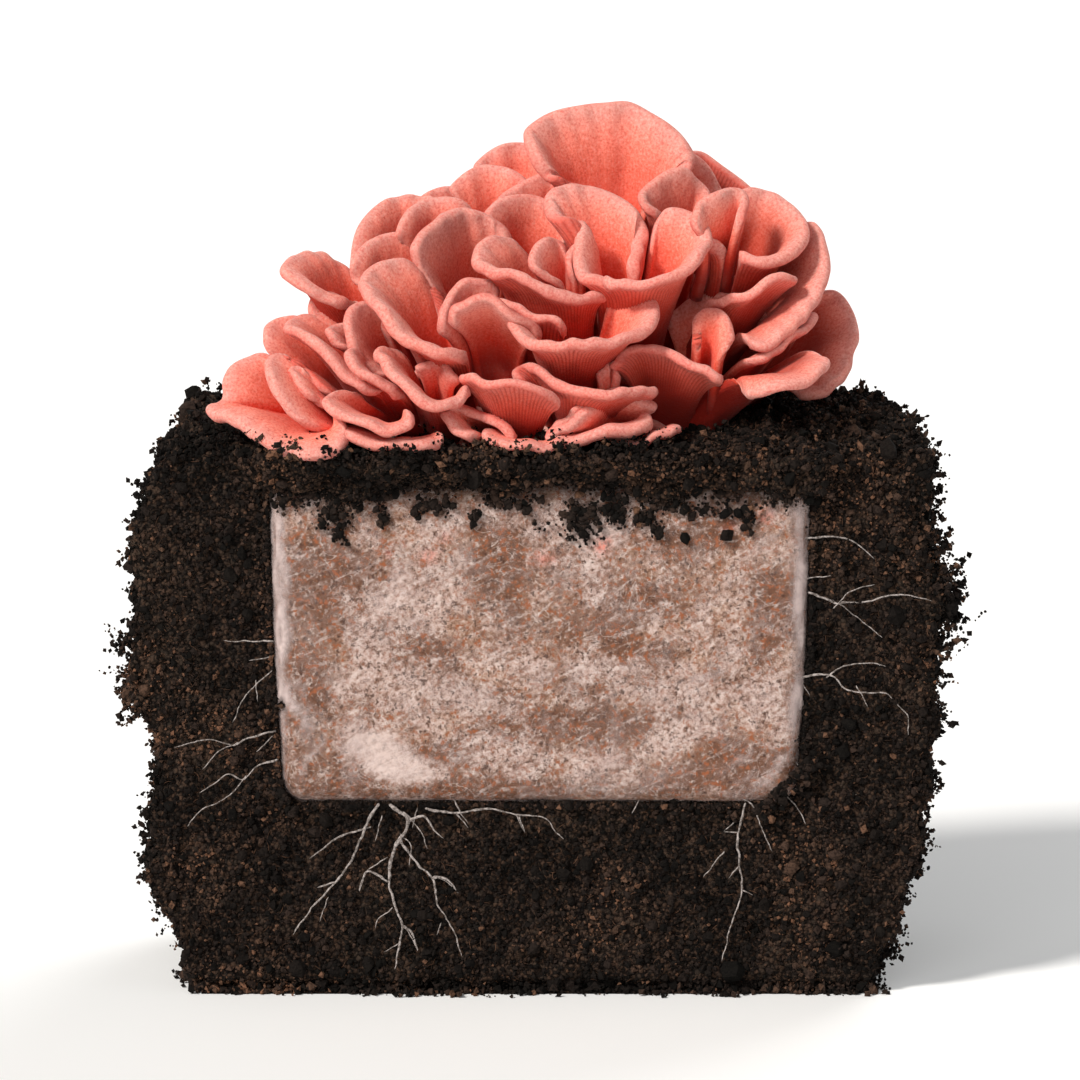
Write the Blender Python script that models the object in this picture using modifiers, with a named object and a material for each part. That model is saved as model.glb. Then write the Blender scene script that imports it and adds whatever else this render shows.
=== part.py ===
"""Oyster mushroom grow bag: a colonised sawdust block in a clear film bag, bedded in a clod of dark
casing soil that is cut open at the front, with a cluster of pink oyster mushrooms fruiting from its top
and mycelium strands running from the block over the cut soil.

Frame: +X right, +Y away from the viewer, +Z up, origin on the floor under the middle of the clod.
Lengths are in millimetres here and are turned to metres when a mesh is made.

The cluster and the strands are laid out the way an observer in front of the clod sees them, looking down
by VIEW_TILT: a point is (across, up, depth), where up is measured in the picture plane that stands on
the clod's front foot. in_part_frame() turns such points into the part's own frame.
"""

import math

import bmesh
import bpy
import numpy as np

MM = 0.001
GAP = 0.3                    # clearance between touching pieces

# ---- driving dimensions -------------------------------------------------------------------------
VIEW_TILT = math.radians(8)  # how far the observer looks down
SOIL_FRONT = -75.0           # the flat cut face
SOIL_BACK = 78.0
SOIL_TOP = 203.0
SOIL_LEFT = [(0, -126), (18, -133), (38, -145), (80, -143), (96, -138), (111, -150), (139, -147),
             (165, -149), (190, -141), (203, -137)]       # (height, x) up the left side
SOIL_RIGHT = [(0, 118), (20, 130), (39, 138), (60, 142), (96, 142), (150, 148), (165, 143),
              (190, 146), (203, 142)]                     # (height, x) up the right side
SOIL_CELLS = 7               # mesh cells along each side of the clod

BLOCK_SIZE = (200.0, 120.0, 120.0)
BLOCK_FLOOR = 72.0
BLOCK_FRONT = -80.0
BLOCK_TAPER = 0.05           # the bag is narrower at its foot by this share
BLOCK_ROUND = 9.0
FILM = 0.5                   # the bag's wall, folds included

BASE_CENTRE = (-5.0, -15.0, 203.0)
BASE_RADII = (72.0, 46.0, 24.0)

STRIP = dict(x=(-108, 108), y=(-88, -60), z=(184, 204))   # soil hanging over the block's top edge

CAP_THICK = 3.0              # at the rim
STEM_THICK = 5.0             # where a cap's stem leaves the base
STEM_WIDE = 12.0
THROAT_SPREAD = 0.42         # how wide the throat is, as a share of the rim
STRAIGHT_RIM = 0.22          # a rim with less depth than this share of its length counts as straight
RIM_ROLL = 2.5               # how far the rim rolls over, away from the hollow
CAP_CELL = 19.0              # length of a mesh cell along the rim
CAP_ROWS = 3                 # mesh cells from stem to rim
MERGES = (0.15, 0.06, 0.03, 0.015, 0.005, 0.001)   # corners closer than this become one, where that works
FLATTEN = math.radians(1.5)   # faces that meet flatter than this are one flat
NEAR = (0, 0.002, 0.02)      # a sound piece stays whole when corners this close are joined
LEAST_ROOMS = (0.25, 0.03)   # cut as well, where sharp corners pull the wider room in
ROOMS = (0.6, 0.66, 0.73, 0.8, 0.9, 1.0, 1.15)  # room cut for a neighbour: the least that works

PINK = (0.80, 0.25, 0.19)
FLESH = (0.85, 0.42, 0.34)
SOIL_BLACK = (0.012, 0.010, 0.008)
SAWDUST = (0.55, 0.42, 0.34)
MYCELIUM = (0.72, 0.69, 0.64)
FILM_CLEAR = (0.85, 0.86, 0.87)

# ---- the cluster: name, foot, throat, rim; points are (across, up, depth) --------------------------
# The rim runs along the free edge from one side of the cap to the other. Nearest caps come first.
CAPS = [
    ("cap_left_ear", (-62, 212, -42), (-88, 215, -56),
     [(-71, 215, -86), (-73, 206, -92), (-82, 202, -94), (-92, 204, -92), (-102, 209.5, -86),
      (-111, 215, -78), (-119, 217.5, -72), (-121, 221, -68), (-115, 224, -66), (-114.5, 230, -63),
      (-111, 235, -58), (-104, 238, -54), (-98, 237, -52)]),
    ("cap_left_low_lip", (-48, 208, -50), (-60, 213, -72),
     [(-46, 218, -90), (-49, 213, -94), (-56, 211, -96), (-64, 213, -95), (-71, 217, -92),
      (-78, 221, -86), (-76, 224, -80), (-70, 225, -74)]),
    ("cap_front_cup", (-36, 206, -50), (-40, 222, -70),
     [(-24, 226, -84), (-29, 222.8, -90), (-35, 221, -94), (-41, 222, -95), (-47, 226, -94),
      (-51.5, 231, -90), (-55, 237.5, -84), (-58, 240, -78), (-54, 241, -70)]),
    ("cap_front_tongue", (-14, 204, -56), (-20, 209, -68),
     [(-23, 205.5, -88), (-29, 210, -88), (-33, 216.5, -84), (-28, 218.7, -80), (-21, 217, -80),
      (-14, 212.5, -82), (-8, 207, -84)]),
    ("cap_front_shelf", (-9, 205, -58), (-10, 213, -76),
     [(-29, 231, -76), (-26, 230, -84), (-17, 228.8, -90), (-8, 227.8, -92), (1, 226, -90),
      (9, 222, -84)]),
    ("cap_front_right_shelf", (12, 207, -52), (12, 216, -72),
     [(-9, 229, -80), (-7, 233, -76), (-3, 234.5, -74), (2, 232, -78), (8, 228.5, -83),
      (16, 226, -86), (24, 224.8, -87), (30, 224.8, -85), (40, 227, -78), (44, 226, -72)]),
    ("cap_front_right_tongue", (30, 205, -50), (26, 210, -66),
     [(42, 215.5, -78), (31, 211.5, -84), (20, 208.8, -86), (10, 207, -86), (5, 209, -84),
      (13, 215, -84), (20, 219.5, -80), (27, 222, -74), (36, 221.5, -72), (44, 220, -70)]),
    ("cap_left_strap", (-62, 208, -45), (-76, 214, -68),
     [(-84, 211, -84), (-93, 220, -84), (-98, 229, -80), (-98.5, 236, -74), (-94.5, 238.8, -70),
      (-91, 236, -70), (-87.5, 229, -73), (-80, 220.5, -77)]),
    ("cap_left_long_strap", (-56, 212, -42), (-68, 231, -60),
     [(-60, 222, -78), (-70, 232, -80), (-80, 242, -78), (-89, 247.5, -72), (-91.5, 250, -66),
      (-88, 253, -58), (-81, 253, -52), (-75, 250, -50)]),
    ("cap_left_thin_lip", (-48, 213, -43), (-57, 226, -66),
     [(-50, 222, -80), (-57, 227, -84), (-63, 231.5, -85), (-69, 237.5, -82), (-68, 240, -76),
      (-62, 237, -70)]),
    ("cap_arch", (-14, 212, -48), (-16, 250, -54),
     [(-33, 245, -78), (-31, 250.5, -82), (-25, 253.3, -84), (-18, 253.3, -84), (-12, 250.8, -83),
      (-7, 247, -81), (-2.5, 243, -78), (-0.5, 239, -74)]),
    ("cap_trumpet", (-28, 212, -40), (-36, 238, -62),
     [(-26, 238.5, -84), (-33, 239.5, -87), (-40, 242, -88), (-47, 246.5, -87), (-53, 251, -86),
      (-58, 257, -82), (-61.5, 263, -77), (-61.5, 268, -70), (-57, 272, -64), (-50, 273, -58),
      (-43, 269, -54), (-38, 262, -55), (-34, 252, -58)]),
    ("cap_middle_cup", (14, 214, -40), (15, 236, -66),
     [(29, 261, -58), (34, 262.5, -60), (39, 260, -66), (41, 254, -72), (38, 249, -78),
      (30, 246, -84), (20, 244.3, -88), (10, 243, -90), (0, 244.5, -88), (-7, 249, -82),
      (-10, 253, -74)]),
    ("cap_middle_thin_shelf", (0, 220, -40), (-2, 243, -60),
     [(-17.5, 255, -72), (-14, 257.8, -70), (-8, 256.3, -74), (0, 252.8, -76), (8, 250, -76),
      (11, 247, -70)]),
    ("cap_throat_lip", (-20, 218, -40), (-24, 244, -54),
     [(-34.8, 244.5, -74), (-35, 250.5, -73), (-33, 255.5, -71), (-29.5, 260, -69), (-26, 263.8, -66),
      (-20, 263.5, -64), (-14, 262, -64)]),
    ("cap_right_low_roll", (58, 210, -40), (84, 236, -58),
     [(74, 222, -74), (78, 223.5, -82), (86, 225.5, -86), (94, 228, -84), (101, 231, -78),
      (106, 235, -68), (104, 238.5, -58)]),
    ("cap_right_low_shelf", (46, 210, -40), (46, 228, -60),
     [(25, 234, -72), (29, 238.5, -68), (35, 241, -66), (41, 240.5, -68), (48, 239.5, -70),
      (54, 237.5, -72), (60, 233.5, -74), (66, 230.5, -74), (70, 229, -70)]),
    ("cap_right_bulge", (58, 212, -40), (62, 238, -72),
     [(69.5, 231, -66), (70, 240, -66), (69.5, 250, -62), (66, 255, -58), (61, 255, -56),
      (57.5, 251, -58), (57, 243, -62), (59.5, 233, -66)]),
    ("cap_right_thin_rim", (58, 212, -32), (76, 232, -44),
     [(78, 236, -66), (84, 240.5, -66), (92, 246, -62), (98, 251, -54), (103, 254.5, -44)]),
    ("cap_spoon", (10, 220, -35), (2, 256, -56),
     [(26, 262, -60), (16, 261, -68), (8, 261.5, -72), (0, 264.5, -74), (-8, 268, -74),
      (-15, 270, -72), (-20.5, 273, -70), (-20.5, 278, -66), (-16, 282, -60), (-10.5, 280.5, -54),
      (-6, 275, -50)]),
    ("cap_right_wave", (34, 222, -30), (42, 262, -52),
     [(22, 265.5, -73), (32, 265.5, -76), (42, 267, -77), (51, 270, -74), (57.5, 275, -68),
      (60, 282, -60), (57, 288, -54), (51, 291, -50), (45, 291, -49), (41, 287, -50)]),
    ("cap_centre_funnel", (27, 222, -30), (27, 262, -46),
     [(28, 266.8, -70), (20, 267.5, -68), (16.5, 271, -64), (17, 280, -58), (17, 286, -54),
      (11, 289, -55), (6, 293, -50), (6, 298.5, -44), (13, 301, -39), (22, 300, -38),
      (30, 296.5, -40), (36, 291.5, -44), (39, 285.5, -48), (37.5, 277, -54), (35, 270, -62)]),
    ("cap_left_tongue", (-48, 214, -38), (-56, 236, -52),
     [(-54, 228, -72), (-62, 233, -74), (-67, 238.5, -74), (-69.4, 246, -72), (-68.5, 252, -70),
      (-65, 255.5, -66), (-60, 256.5, -62), (-57, 254, -60), (-56, 246, -60)]),
    ("cap_left_leaf", (-60, 214, -35), (-82, 234, -50),
     [(-99, 237, -60), (-101, 243, -60), (-100.5, 248, -57), (-97, 251.3, -53), (-91.5, 251.8, -50),
      (-87, 252.5, -46)]),
    ("cap_left_wall", (-56, 214, -35), (-70, 240, -46),
     [(-80, 247, -56), (-83.8, 254, -54), (-83, 260, -50), (-79, 262, -46), (-73, 259, -42)]),
    ("cap_left_spoon", (-55, 217, -30), (-69, 256, -42),
     [(-68, 255, -56), (-76, 258.5, -62), (-84, 263, -64), (-91, 268, -62), (-93.2, 271, -58),
      (-90, 274.6, -50), (-85, 276.3, -44), (-78, 276, -38), (-71, 271, -34), (-66, 264, -32)]),
    ("cap_big_cup", (-22, 215, -20), (-24, 252, -18),
     [(-34, 256, -50), (-39, 264, -56), (-44.5, 274, -58), (-43, 279, -56), (-38, 284, -50),
      (-30, 290, -40), (-22, 290, -36), (-14, 286, -34), (-9, 280, -38)]),
    ("cap_left_high_lip", (-38, 220, -25), (-52, 262, -32),
     [(-67.5, 262, -50), (-69, 270, -49), (-66, 276, -46), (-61, 280, -42), (-55, 282.3, -38),
      (-48, 283, -35), (-42, 282, -34)]),
    ("cap_left_upper", (-30, 222, -15), (-38, 272, -20),
     [(-54, 281, -40), (-52.5, 284, -40), (-50, 289, -37), (-46, 293.2, -32), (-40, 295.8, -28),
      (-34, 296.2, -26), (-28, 294.5, -26), (-24, 291, -27), (-21, 286, -30)]),
    ("cap_centre_back", (-2, 222, -10), (-3, 272, -10),
     [(-21, 290, -30), (-14, 296, -24), (-6, 297.5, -20), (0, 296.5, -18), (6, 293, -20),
      (10, 287, -24), (12, 281, -28)]),
    ("cap_right_round", (60, 225, -15), (76, 274, -34),
     [(66, 278.5, -52), (62, 282, -50), (59, 287, -46), (61, 292, -40), (67, 296.5, -34),
      (74, 298, -30), (80, 299.8, -28), (87, 298.3, -28), (93, 293.5, -31), (96.8, 288, -36),
      (96.5, 283, -42), (91, 278, -49), (83, 275.3, -54), (74, 276, -55)]),
    ("cap_right_shelf", (56, 222, -25), (70, 252, -40),
     [(60, 257.5, -48), (66, 259, -54), (75, 262.5, -60), (84, 266.5, -60), (91, 269, -56),
      (95, 268, -48)]),
    ("cap_right_rim", (58, 216, -22), (78, 256, -26),
     [(95, 290, -22), (101, 287.5, -26), (103.5, 281, -34), (104.3, 272, -42), (103, 263, -50),
      (97, 255.5, -58), (89, 248, -66), (82, 242.5, -70), (77, 241, -70)]),
    ("cap_right_ear", (62, 214, -16), (92, 238, -12),
     [(104, 264.5, -14), (109, 263.3, -14), (113, 259.5, -17), (116, 253, -22), (117.3, 246, -29),
      (114.5, 241, -35), (113.5, 235, -40), (110, 229.5, -44), (105, 225, -46), (97, 223, -48)]),
    ("cap_right_upper", (40, 225, -12), (52, 282, -20),
     [(45, 290.5, -42), (39, 294, -40), (40, 298, -36), (45, 303, -31), (51, 306.5, -27),
      (56, 306.8, -24), (60, 303, -22), (66, 296, -24)]),
    ("cap_middle_back", (0, 225, 0), (0, 280, -2),
     [(-16, 296, -18), (-10, 300, -14), (-3, 304, -11), (3, 306, -10), (9, 303, -12), (14, 297, -15)]),
    ("cap_top", (24, 225, -2), (28, 290, 0),
     [(22, 300.5, -20), (14, 302, -24), (6, 307, -27), (0, 313, -26), (-2.5, 319, -22),
      (-1, 323, -18), (7, 328, -13), (18, 330.3, -10), (26, 331, -9), (33.5, 331.2, -9),
      (41, 327, -11), (48, 322, -14), (53.5, 315, -18), (53.5, 309, -22), (47, 304.8, -24),
      (42, 299, -22)]),
    ("cap_top_left", (-14, 228, 0), (-18, 285, 0),
     [(-34, 301, -10), (-29, 305.5, -6), (-22, 309.5, -4), (-15, 309, -4), (-9, 306.5, -7),
      (-4.5, 303, -10)]),
    ("cap_top_left_back", (-6, 228, 8), (-8, 292, 14),
     [(-25, 309.5, 2), (-17, 316, 6), (-10.5, 318.3, 8), (-4, 317.5, 7), (1, 313, 3), (2, 308, -2)]),
    ("cap_left_big", (-33, 225, -3), (-49, 268, -5),
     [(-67, 263, -34), (-70, 268, -32), (-69.5, 276, -28), (-67, 285, -22), (-62, 292, -16),
      (-56, 297, -11), (-50, 298.7, -8), (-44, 298.3, -7), (-37, 296.5, -8), (-31, 293, -10)]),
    ("cap_left_high_back", (-24, 228, 8), (-32, 282, 10),
     [(-45, 298, 0), (-40, 300.8, 3), (-34, 302, 5), (-28, 301, 5), (-22, 297, 2)]),
    ("cap_right_back_inner", (40, 228, 4), (52, 284, 6),
     [(50, 314, 0), (58, 314, 2), (64, 309, 2), (67.5, 302, 0), (68.5, 296, -4)]),
    ("cap_right_back", (42, 228, 14), (58, 285, 20),
     [(52, 317, 12), (60, 316.3, 16), (68, 312.5, 18), (76, 306.5, 17), (84, 299.5, 13),
      (90, 292, 8)]),
]

# The far side of the cluster, which the observer doesn't see: name, bearing in degrees (0 is to the
# right, 90 straight back), reach, height of the rim above the floor, width and how far it droops.
FAR_CAPS = [
    ("cap_far_right", 28, 88, 262, 66, 0.30),
    ("cap_far_right_high", 52, 66, 290, 60, 0.20),
    ("cap_far_right_low", 58, 80, 236, 60, 0.45),
    ("cap_far_middle_high", 80, 58, 290, 60, 0.15),
    ("cap_far_middle", 88, 78, 262, 70, 0.30),
    ("cap_far_middle_low", 96, 84, 226, 64, 0.45),
    ("cap_far_left_high", 116, 62, 266, 60, 0.20),
    ("cap_far_left", 128, 84, 246, 66, 0.35),
]

# ---- mycelium strands on the cut face: runs of (across, up), each run starting on an earlier one -------
STRANDS = {
    "strand_trunk": (1.5, [
        [(-54, 69.3), (-49, 65), (-52, 58), (-55, 51), (-56, 42), (-54, 33), (-51, 26), (-52.5, 17),
         (-54, 9)],
        [(-49, 65), (-43, 66.5), (-39, 61), (-35, 58)],
        [(-52, 58), (-46, 49), (-40, 43.5), (-38, 34), (-33, 25.5), (-28.5, 14)],
        [(-40, 43.5), (-35, 43), (-30, 37.5)],
        [(-56, 42), (-64, 46), (-67, 38)],
        [(-51, 26), (-48, 23), (-45, 16)]]),
    "strand_left_main": (1.1, [
        [(-61, 69.3), (-65, 62), (-69.5, 51), (-76, 42), (-84.5, 32.5), (-92, 22)],
        [(-65, 62), (-75, 58.5), (-85.5, 50.5)],
        [(-76, 42), (-83, 40)]]),
    "strand_centre": (0.9, [
        [(-40, 69), (-31, 68), (-20, 69.3), (-14, 68.6), (-7.5, 67), (2, 66), (5.5, 61), (9, 57.5)],
        [(-31, 68), (-26.5, 62)],
        [(-7.5, 67), (-5.5, 60)]]),
    "strand_right_low": (0.9, [
        [(75.5, 69.3), (73.5, 60.5), (74, 48), (75, 39), (71.5, 27.5), (67.5, 12)],
        [(73.5, 60.5), (68, 61)],
        [(74, 48), (70, 43.5)],
        [(75, 39), (79, 37)]]),
    "strand_right_fork": (0.9, [
        [(101, 149), (110, 145.5), (112, 146), (121, 146), (129, 148.5), (137.5, 148), (145, 146.5)],
        [(110, 145.5), (117, 140.5), (127, 132.5)]]),
}


def in_part_frame(points):
    """(across, up, depth) to (x, y, z): up = z cos(tilt) + (y - front) sin(tilt), solved for z."""
    across, up, depth = np.asarray(points, float).reshape(-1, 3).T
    z = (up - (depth - SOIL_FRONT) * math.sin(VIEW_TILT)) / math.cos(VIEW_TILT)
    return np.column_stack([across, depth, z])


# ---- shapes by formula --------------------------------------------------------------------------
def smooth_line(points, t):
    """A Catmull-Rom curve through the points, read at t in 0..1 by arc length."""
    p = np.vstack([2 * points[0] - points[1], points, 2 * points[-1] - points[-2]])
    spans = len(points) - 1
    s = np.linspace(0, spans, 24 * spans + 1)
    i = np.minimum(s.astype(int), spans - 1)
    f = (s - i)[:, None]
    a, b, c, d = p[i], p[i + 1], p[i + 2], p[i + 3]
    line = 0.5 * (2 * b + (c - a) * f + (2 * a - 5 * b + 4 * c - d) * f ** 2
                  + (3 * b - a - 3 * c + d) * f ** 3)
    run = np.append(0, np.cumsum(np.linalg.norm(np.diff(line, axis=0), axis=1)))
    return np.column_stack([np.interp(t * run[-1], run, line[:, k]) for k in range(3)])


def unit(vector):
    return vector / np.linalg.norm(vector)


def turned(vectors, a, b):
    """The vectors under the smallest turn that takes direction a to direction b."""
    k = np.cross(a, b)
    return vectors + np.cross(k, vectors) + np.cross(k, np.cross(k, vectors)) / (1 + a @ b)


def facing(foot, throat, rim):
    """The direction that the hollow faces: the normal of the rim's plane, or of the sheet where the rim
    is nearly straight, on the side away from the foot."""
    centre = rim.mean(0)
    _, size, axes = np.linalg.svd(rim - centre)
    normal = axes[2]
    if size[1] < STRAIGHT_RIM * size[0]:
        normal = unit(np.cross(axes[0], centre - throat))
    return normal * np.sign(normal @ (centre - 0.5 * foot - 0.5 * throat))


def cap_surface(foot, throat, rim, u, v):
    """A quadratic from the foot over the throat to the rim for every u along the rim. The foot and the
    throat are the rim made smaller and turned square to the stem; near the rim the sheet bends away
    from its hollow side."""
    edge = smooth_line(rim, u)
    spread = edge - rim.mean(0)
    normal = facing(foot, throat, rim)
    axis = unit(throat - foot)
    narrow = 0.5 * STEM_WIDE / np.linalg.norm(rim - rim.mean(0), axis=1).mean()
    start = foot + narrow * turned(spread, normal, axis)
    middle = throat + THROAT_SPREAD * turned(spread, normal, unit(normal + axis))
    w = v[:, None]
    sheet = (1 - w) ** 2 * start + 2 * w * (1 - w) * middle + w ** 2 * edge
    outward = edge - middle
    across = normal - outward * (outward @ normal / (outward ** 2).sum(1))[:, None]
    across /= np.linalg.norm(across, axis=1)[:, None]
    roll = np.clip((v - 0.7) / 0.3, 0, 1) ** 2
    return sheet - RIM_ROLL * roll[:, None] * across


def far_cap(bearing, reach, height, width, droop):
    """Foot, throat and rim of a cap on the far side: a wavy arc round the bearing."""
    angle = math.radians(bearing)
    out = np.array([math.cos(angle), math.sin(angle), 0])
    side = np.array([-out[1], out[0], 0])
    centre = np.array([BASE_CENTRE[0], BASE_CENTRE[1] + 6, 0])
    turn = np.linspace(-1.25, 1.25, 9)
    wave = np.sin(3.1 * turn + 0.05 * bearing)
    rim = (centre + out * (reach * (0.45 + 0.55 * np.cos(turn)) + 3 * wave)[:, None]
           + side * (0.5 * width * np.sin(turn) * 1.15)[:, None])
    rim[:, 2] = height - droop * 18 * np.cos(turn) + 2.5 * wave + 6
    foot = centre + out * (0.8 * reach - 36) + np.array([0, 0, 212])
    throat = centre + out * (0.42 * reach) + np.array([0, 0, 0.45 * 212 + 0.55 * height - 6])
    return foot, throat, rim


def lumps(p, size, height):
    """A few crossed sine waves: the same gentle unevenness each time."""
    x, y, z = (p / size).T
    return height * (np.sin(1.7 * x + 2.3 * y + 0.6) * np.cos(1.3 * z - 0.8 * x)
                     + 0.6 * np.sin(2.9 * z + 1.1 * y - 1.9 * x))


# ---- making objects -----------------------------------------------------------------------------
def clear_scene():
    for old in list(bpy.data.objects):
        bpy.data.objects.remove(old, do_unlink=True)


def collection(name):
    made = bpy.data.collections.new(name)
    bpy.context.scene.collection.children.link(made)
    return made


def move_to(obj, target):
    for home in list(obj.users_collection):
        home.objects.unlink(obj)
    target.objects.link(obj)


def material(name, colour, roughness, alpha=1.0):
    made = bpy.data.materials.new(name)
    made.use_nodes = True
    shader = made.node_tree.nodes["Principled BSDF"]
    shader.inputs["Base Color"].default_value = (*colour, 1)
    shader.inputs["Roughness"].default_value = roughness
    shader.inputs["Alpha"].default_value = alpha
    return made


def finish(objects, look):
    for obj in objects:
        obj.data.materials.clear()
        obj.data.materials.append(look)


def vertices(obj):
    co = np.empty(3 * len(obj.data.vertices))
    obj.data.vertices.foreach_get("co", co)
    return co.reshape(-1, 3)


def set_vertices(obj, co):
    obj.data.vertices.foreach_set("co", np.ascontiguousarray(co, float).ravel())
    obj.data.update()


def subdivided_cube(name, cells):
    bpy.ops.mesh.primitive_cube_add(size=1)
    obj = bpy.context.object
    obj.name = name
    shape = bmesh.new()
    shape.from_mesh(obj.data)
    bmesh.ops.subdivide_edges(shape, edges=shape.edges[:], cuts=cells - 1, use_grid_fill=True)
    shape.to_mesh(obj.data)
    shape.free()
    return obj


def boolean(obj, cutter, operation):
    step = obj.modifiers.new(operation.lower(), "BOOLEAN")
    step.operation = operation
    step.solver = "MANIFOLD"
    step.object = cutter


def pieces_of(shape):
    """The faces of each connected piece, the one with the least surface first."""
    left = set(shape.faces)
    pieces = []
    while left:
        todo = [left.pop()]
        piece = []
        while todo:
            face = todo.pop()
            piece.append(face)
            near = {n for edge in face.edges for n in edge.link_faces} & left
            left -= near
            todo.extend(near)
        pieces.append(piece)
    return sorted(pieces, key=lambda piece: sum(face.calc_area() for face in piece))


def is_sound(shape):
    """One closed piece, and still so when corners that all but touch are joined."""
    for near in NEAR:
        joined = shape.copy()
        bmesh.ops.remove_doubles(joined, verts=joined.verts[:], dist=near * MM)
        sound = all(len(edge.link_faces) == 2 for edge in joined.edges) and len(pieces_of(joined)) == 1
        joined.free()
        if not sound:
            return False
    return True


def simplified(whole, merge):
    shape = whole.copy()
    bmesh.ops.remove_doubles(shape, verts=shape.verts[:], dist=merge * MM)
    bmesh.ops.dissolve_limit(shape, angle_limit=FLATTEN, verts=shape.verts[:], edges=shape.edges[:])
    bmesh.ops.triangulate(shape, faces=shape.faces[:])
    return shape


def settle(obj):
    """Apply the modifiers and keep the largest piece, with slivers and flat faces merged as far as the
    piece stays sound. Says whether it is sound."""
    graph = bpy.context.evaluated_depsgraph_get()
    mesh = bpy.data.meshes.new_from_object(obj.evaluated_get(graph))
    whole = bmesh.new()
    whole.from_mesh(mesh)
    bmesh.ops.triangulate(whole, faces=whole.faces[:])
    for piece in pieces_of(whole)[:-1]:
        bmesh.ops.delete(whole, geom=piece, context="FACES")
    volume = whole.calc_volume()
    for merge in MERGES:
        shape = simplified(whole, merge)
        sound = is_sound(shape) and abs(shape.calc_volume() / volume - 1) < 0.02
        if sound:
            break
        shape.free()
    if not sound:
        shape = whole.copy()
        sound = is_sound(shape)
    shape.to_mesh(mesh)
    shape.free()
    whole.free()
    if sound:
        obj.modifiers.clear()
        obj.data = mesh
    return sound


def carve(obj, neighbours, cutters):
    """Cut room for the neighbours out of a piece, with a little more of it until the result is sound."""
    for room in ROOMS:
        copies = [grown_copy(other, by, cutters) for other in neighbours for by in (room, *LEAST_ROOMS)]
        for copy in copies:
            boolean(obj, copy, "DIFFERENCE")
        sound = settle(obj)
        for copy in copies:
            bpy.data.objects.remove(copy, do_unlink=True)
        if sound:
            return
        obj.modifiers.clear()
    raise ValueError("no sound fit for " + obj.name)


def grown_copy(obj, by, cutters):
    """A copy whose faces stand off by that many millimetres, for cutting room in a neighbour."""
    copy = obj.copy()
    copy.data = obj.data.copy()
    copy.name = obj.name + "_room"
    cutters.objects.link(copy)
    swell = copy.modifiers.new("swell", "DISPLACE")
    swell.strength = by * MM
    swell.mid_level = 0
    copy.hide_render = True
    copy.display_type = "WIRE"
    return copy


def boxes_meet(a, b, margin=1.0):
    pa, pb = vertices(a) / MM, vertices(b) / MM
    return bool(np.all(pa.min(0) - margin < pb.max(0)) and np.all(pb.min(0) - margin < pa.max(0)))


# ---- the pieces ---------------------------------------------------------------------------------
def block_form(name, grow):
    """The rounded, slightly tapered block, with its faces standing off by grow."""
    bpy.ops.mesh.primitive_cube_add(size=1)
    obj = bpy.context.object
    obj.name = name
    size = np.array(BLOCK_SIZE) + 2 * grow
    centre = np.array([0, BLOCK_FRONT + BLOCK_SIZE[1] / 2, BLOCK_FLOOR + BLOCK_SIZE[2] / 2])
    set_vertices(obj, (vertices(obj) * size) * MM)
    rounding = obj.modifiers.new("rounded edges", "BEVEL")
    rounding.width = (BLOCK_ROUND + grow) * MM
    rounding.segments = 2
    settle(obj)
    p = vertices(obj) / MM
    height = p[:, 2] / BLOCK_SIZE[2] + 0.5
    p[:, 0] *= 1 - BLOCK_TAPER * (1 - height) ** 2
    set_vertices(obj, (p + centre) * MM)
    return obj


def make_block(parts):
    obj = block_form("substrate_block", 0)
    move_to(obj, parts)
    return obj


def make_bag(parts):
    obj = block_form("grow_bag", GAP)
    top = BLOCK_FLOOR + BLOCK_SIZE[2] + GAP
    shape = bmesh.new()
    shape.from_mesh(obj.data)
    lid = [f for f in shape.faces if f.calc_center_median().z / MM > top - 0.1]
    bmesh.ops.delete(shape, geom=lid, context="FACES")
    shape.to_mesh(obj.data)
    shape.free()
    film = obj.modifiers.new("film", "SOLIDIFY")
    film.thickness = FILM * MM
    film.offset = 1
    film.use_even_offset = True
    settle(obj)
    move_to(obj, parts)
    return obj


def make_base(parts):
    """The fused foot: a lumpy dome whose flat underside stands on the block."""
    bpy.ops.mesh.primitive_uv_sphere_add(segments=18, ring_count=8, radius=1)
    obj = bpy.context.object
    obj.name = "stem_base"
    p = vertices(obj) * np.array(BASE_RADII) + np.array(BASE_CENTRE)
    p[:, 2] = np.maximum(p[:, 2], BLOCK_FLOOR + BLOCK_SIZE[2] + GAP)
    p[:, 2] += np.where(p[:, 2] > SOIL_TOP, lumps(p, 16, 1.6), 0)
    set_vertices(obj, p * MM)
    flat = bmesh.new()
    flat.from_mesh(obj.data)
    bmesh.ops.dissolve_limit(flat, angle_limit=0.01, verts=flat.verts[:], edges=flat.edges[:])
    bmesh.ops.triangulate(flat, faces=flat.faces[:])
    flat.to_mesh(obj.data)
    flat.free()
    move_to(obj, parts)
    return obj


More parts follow.
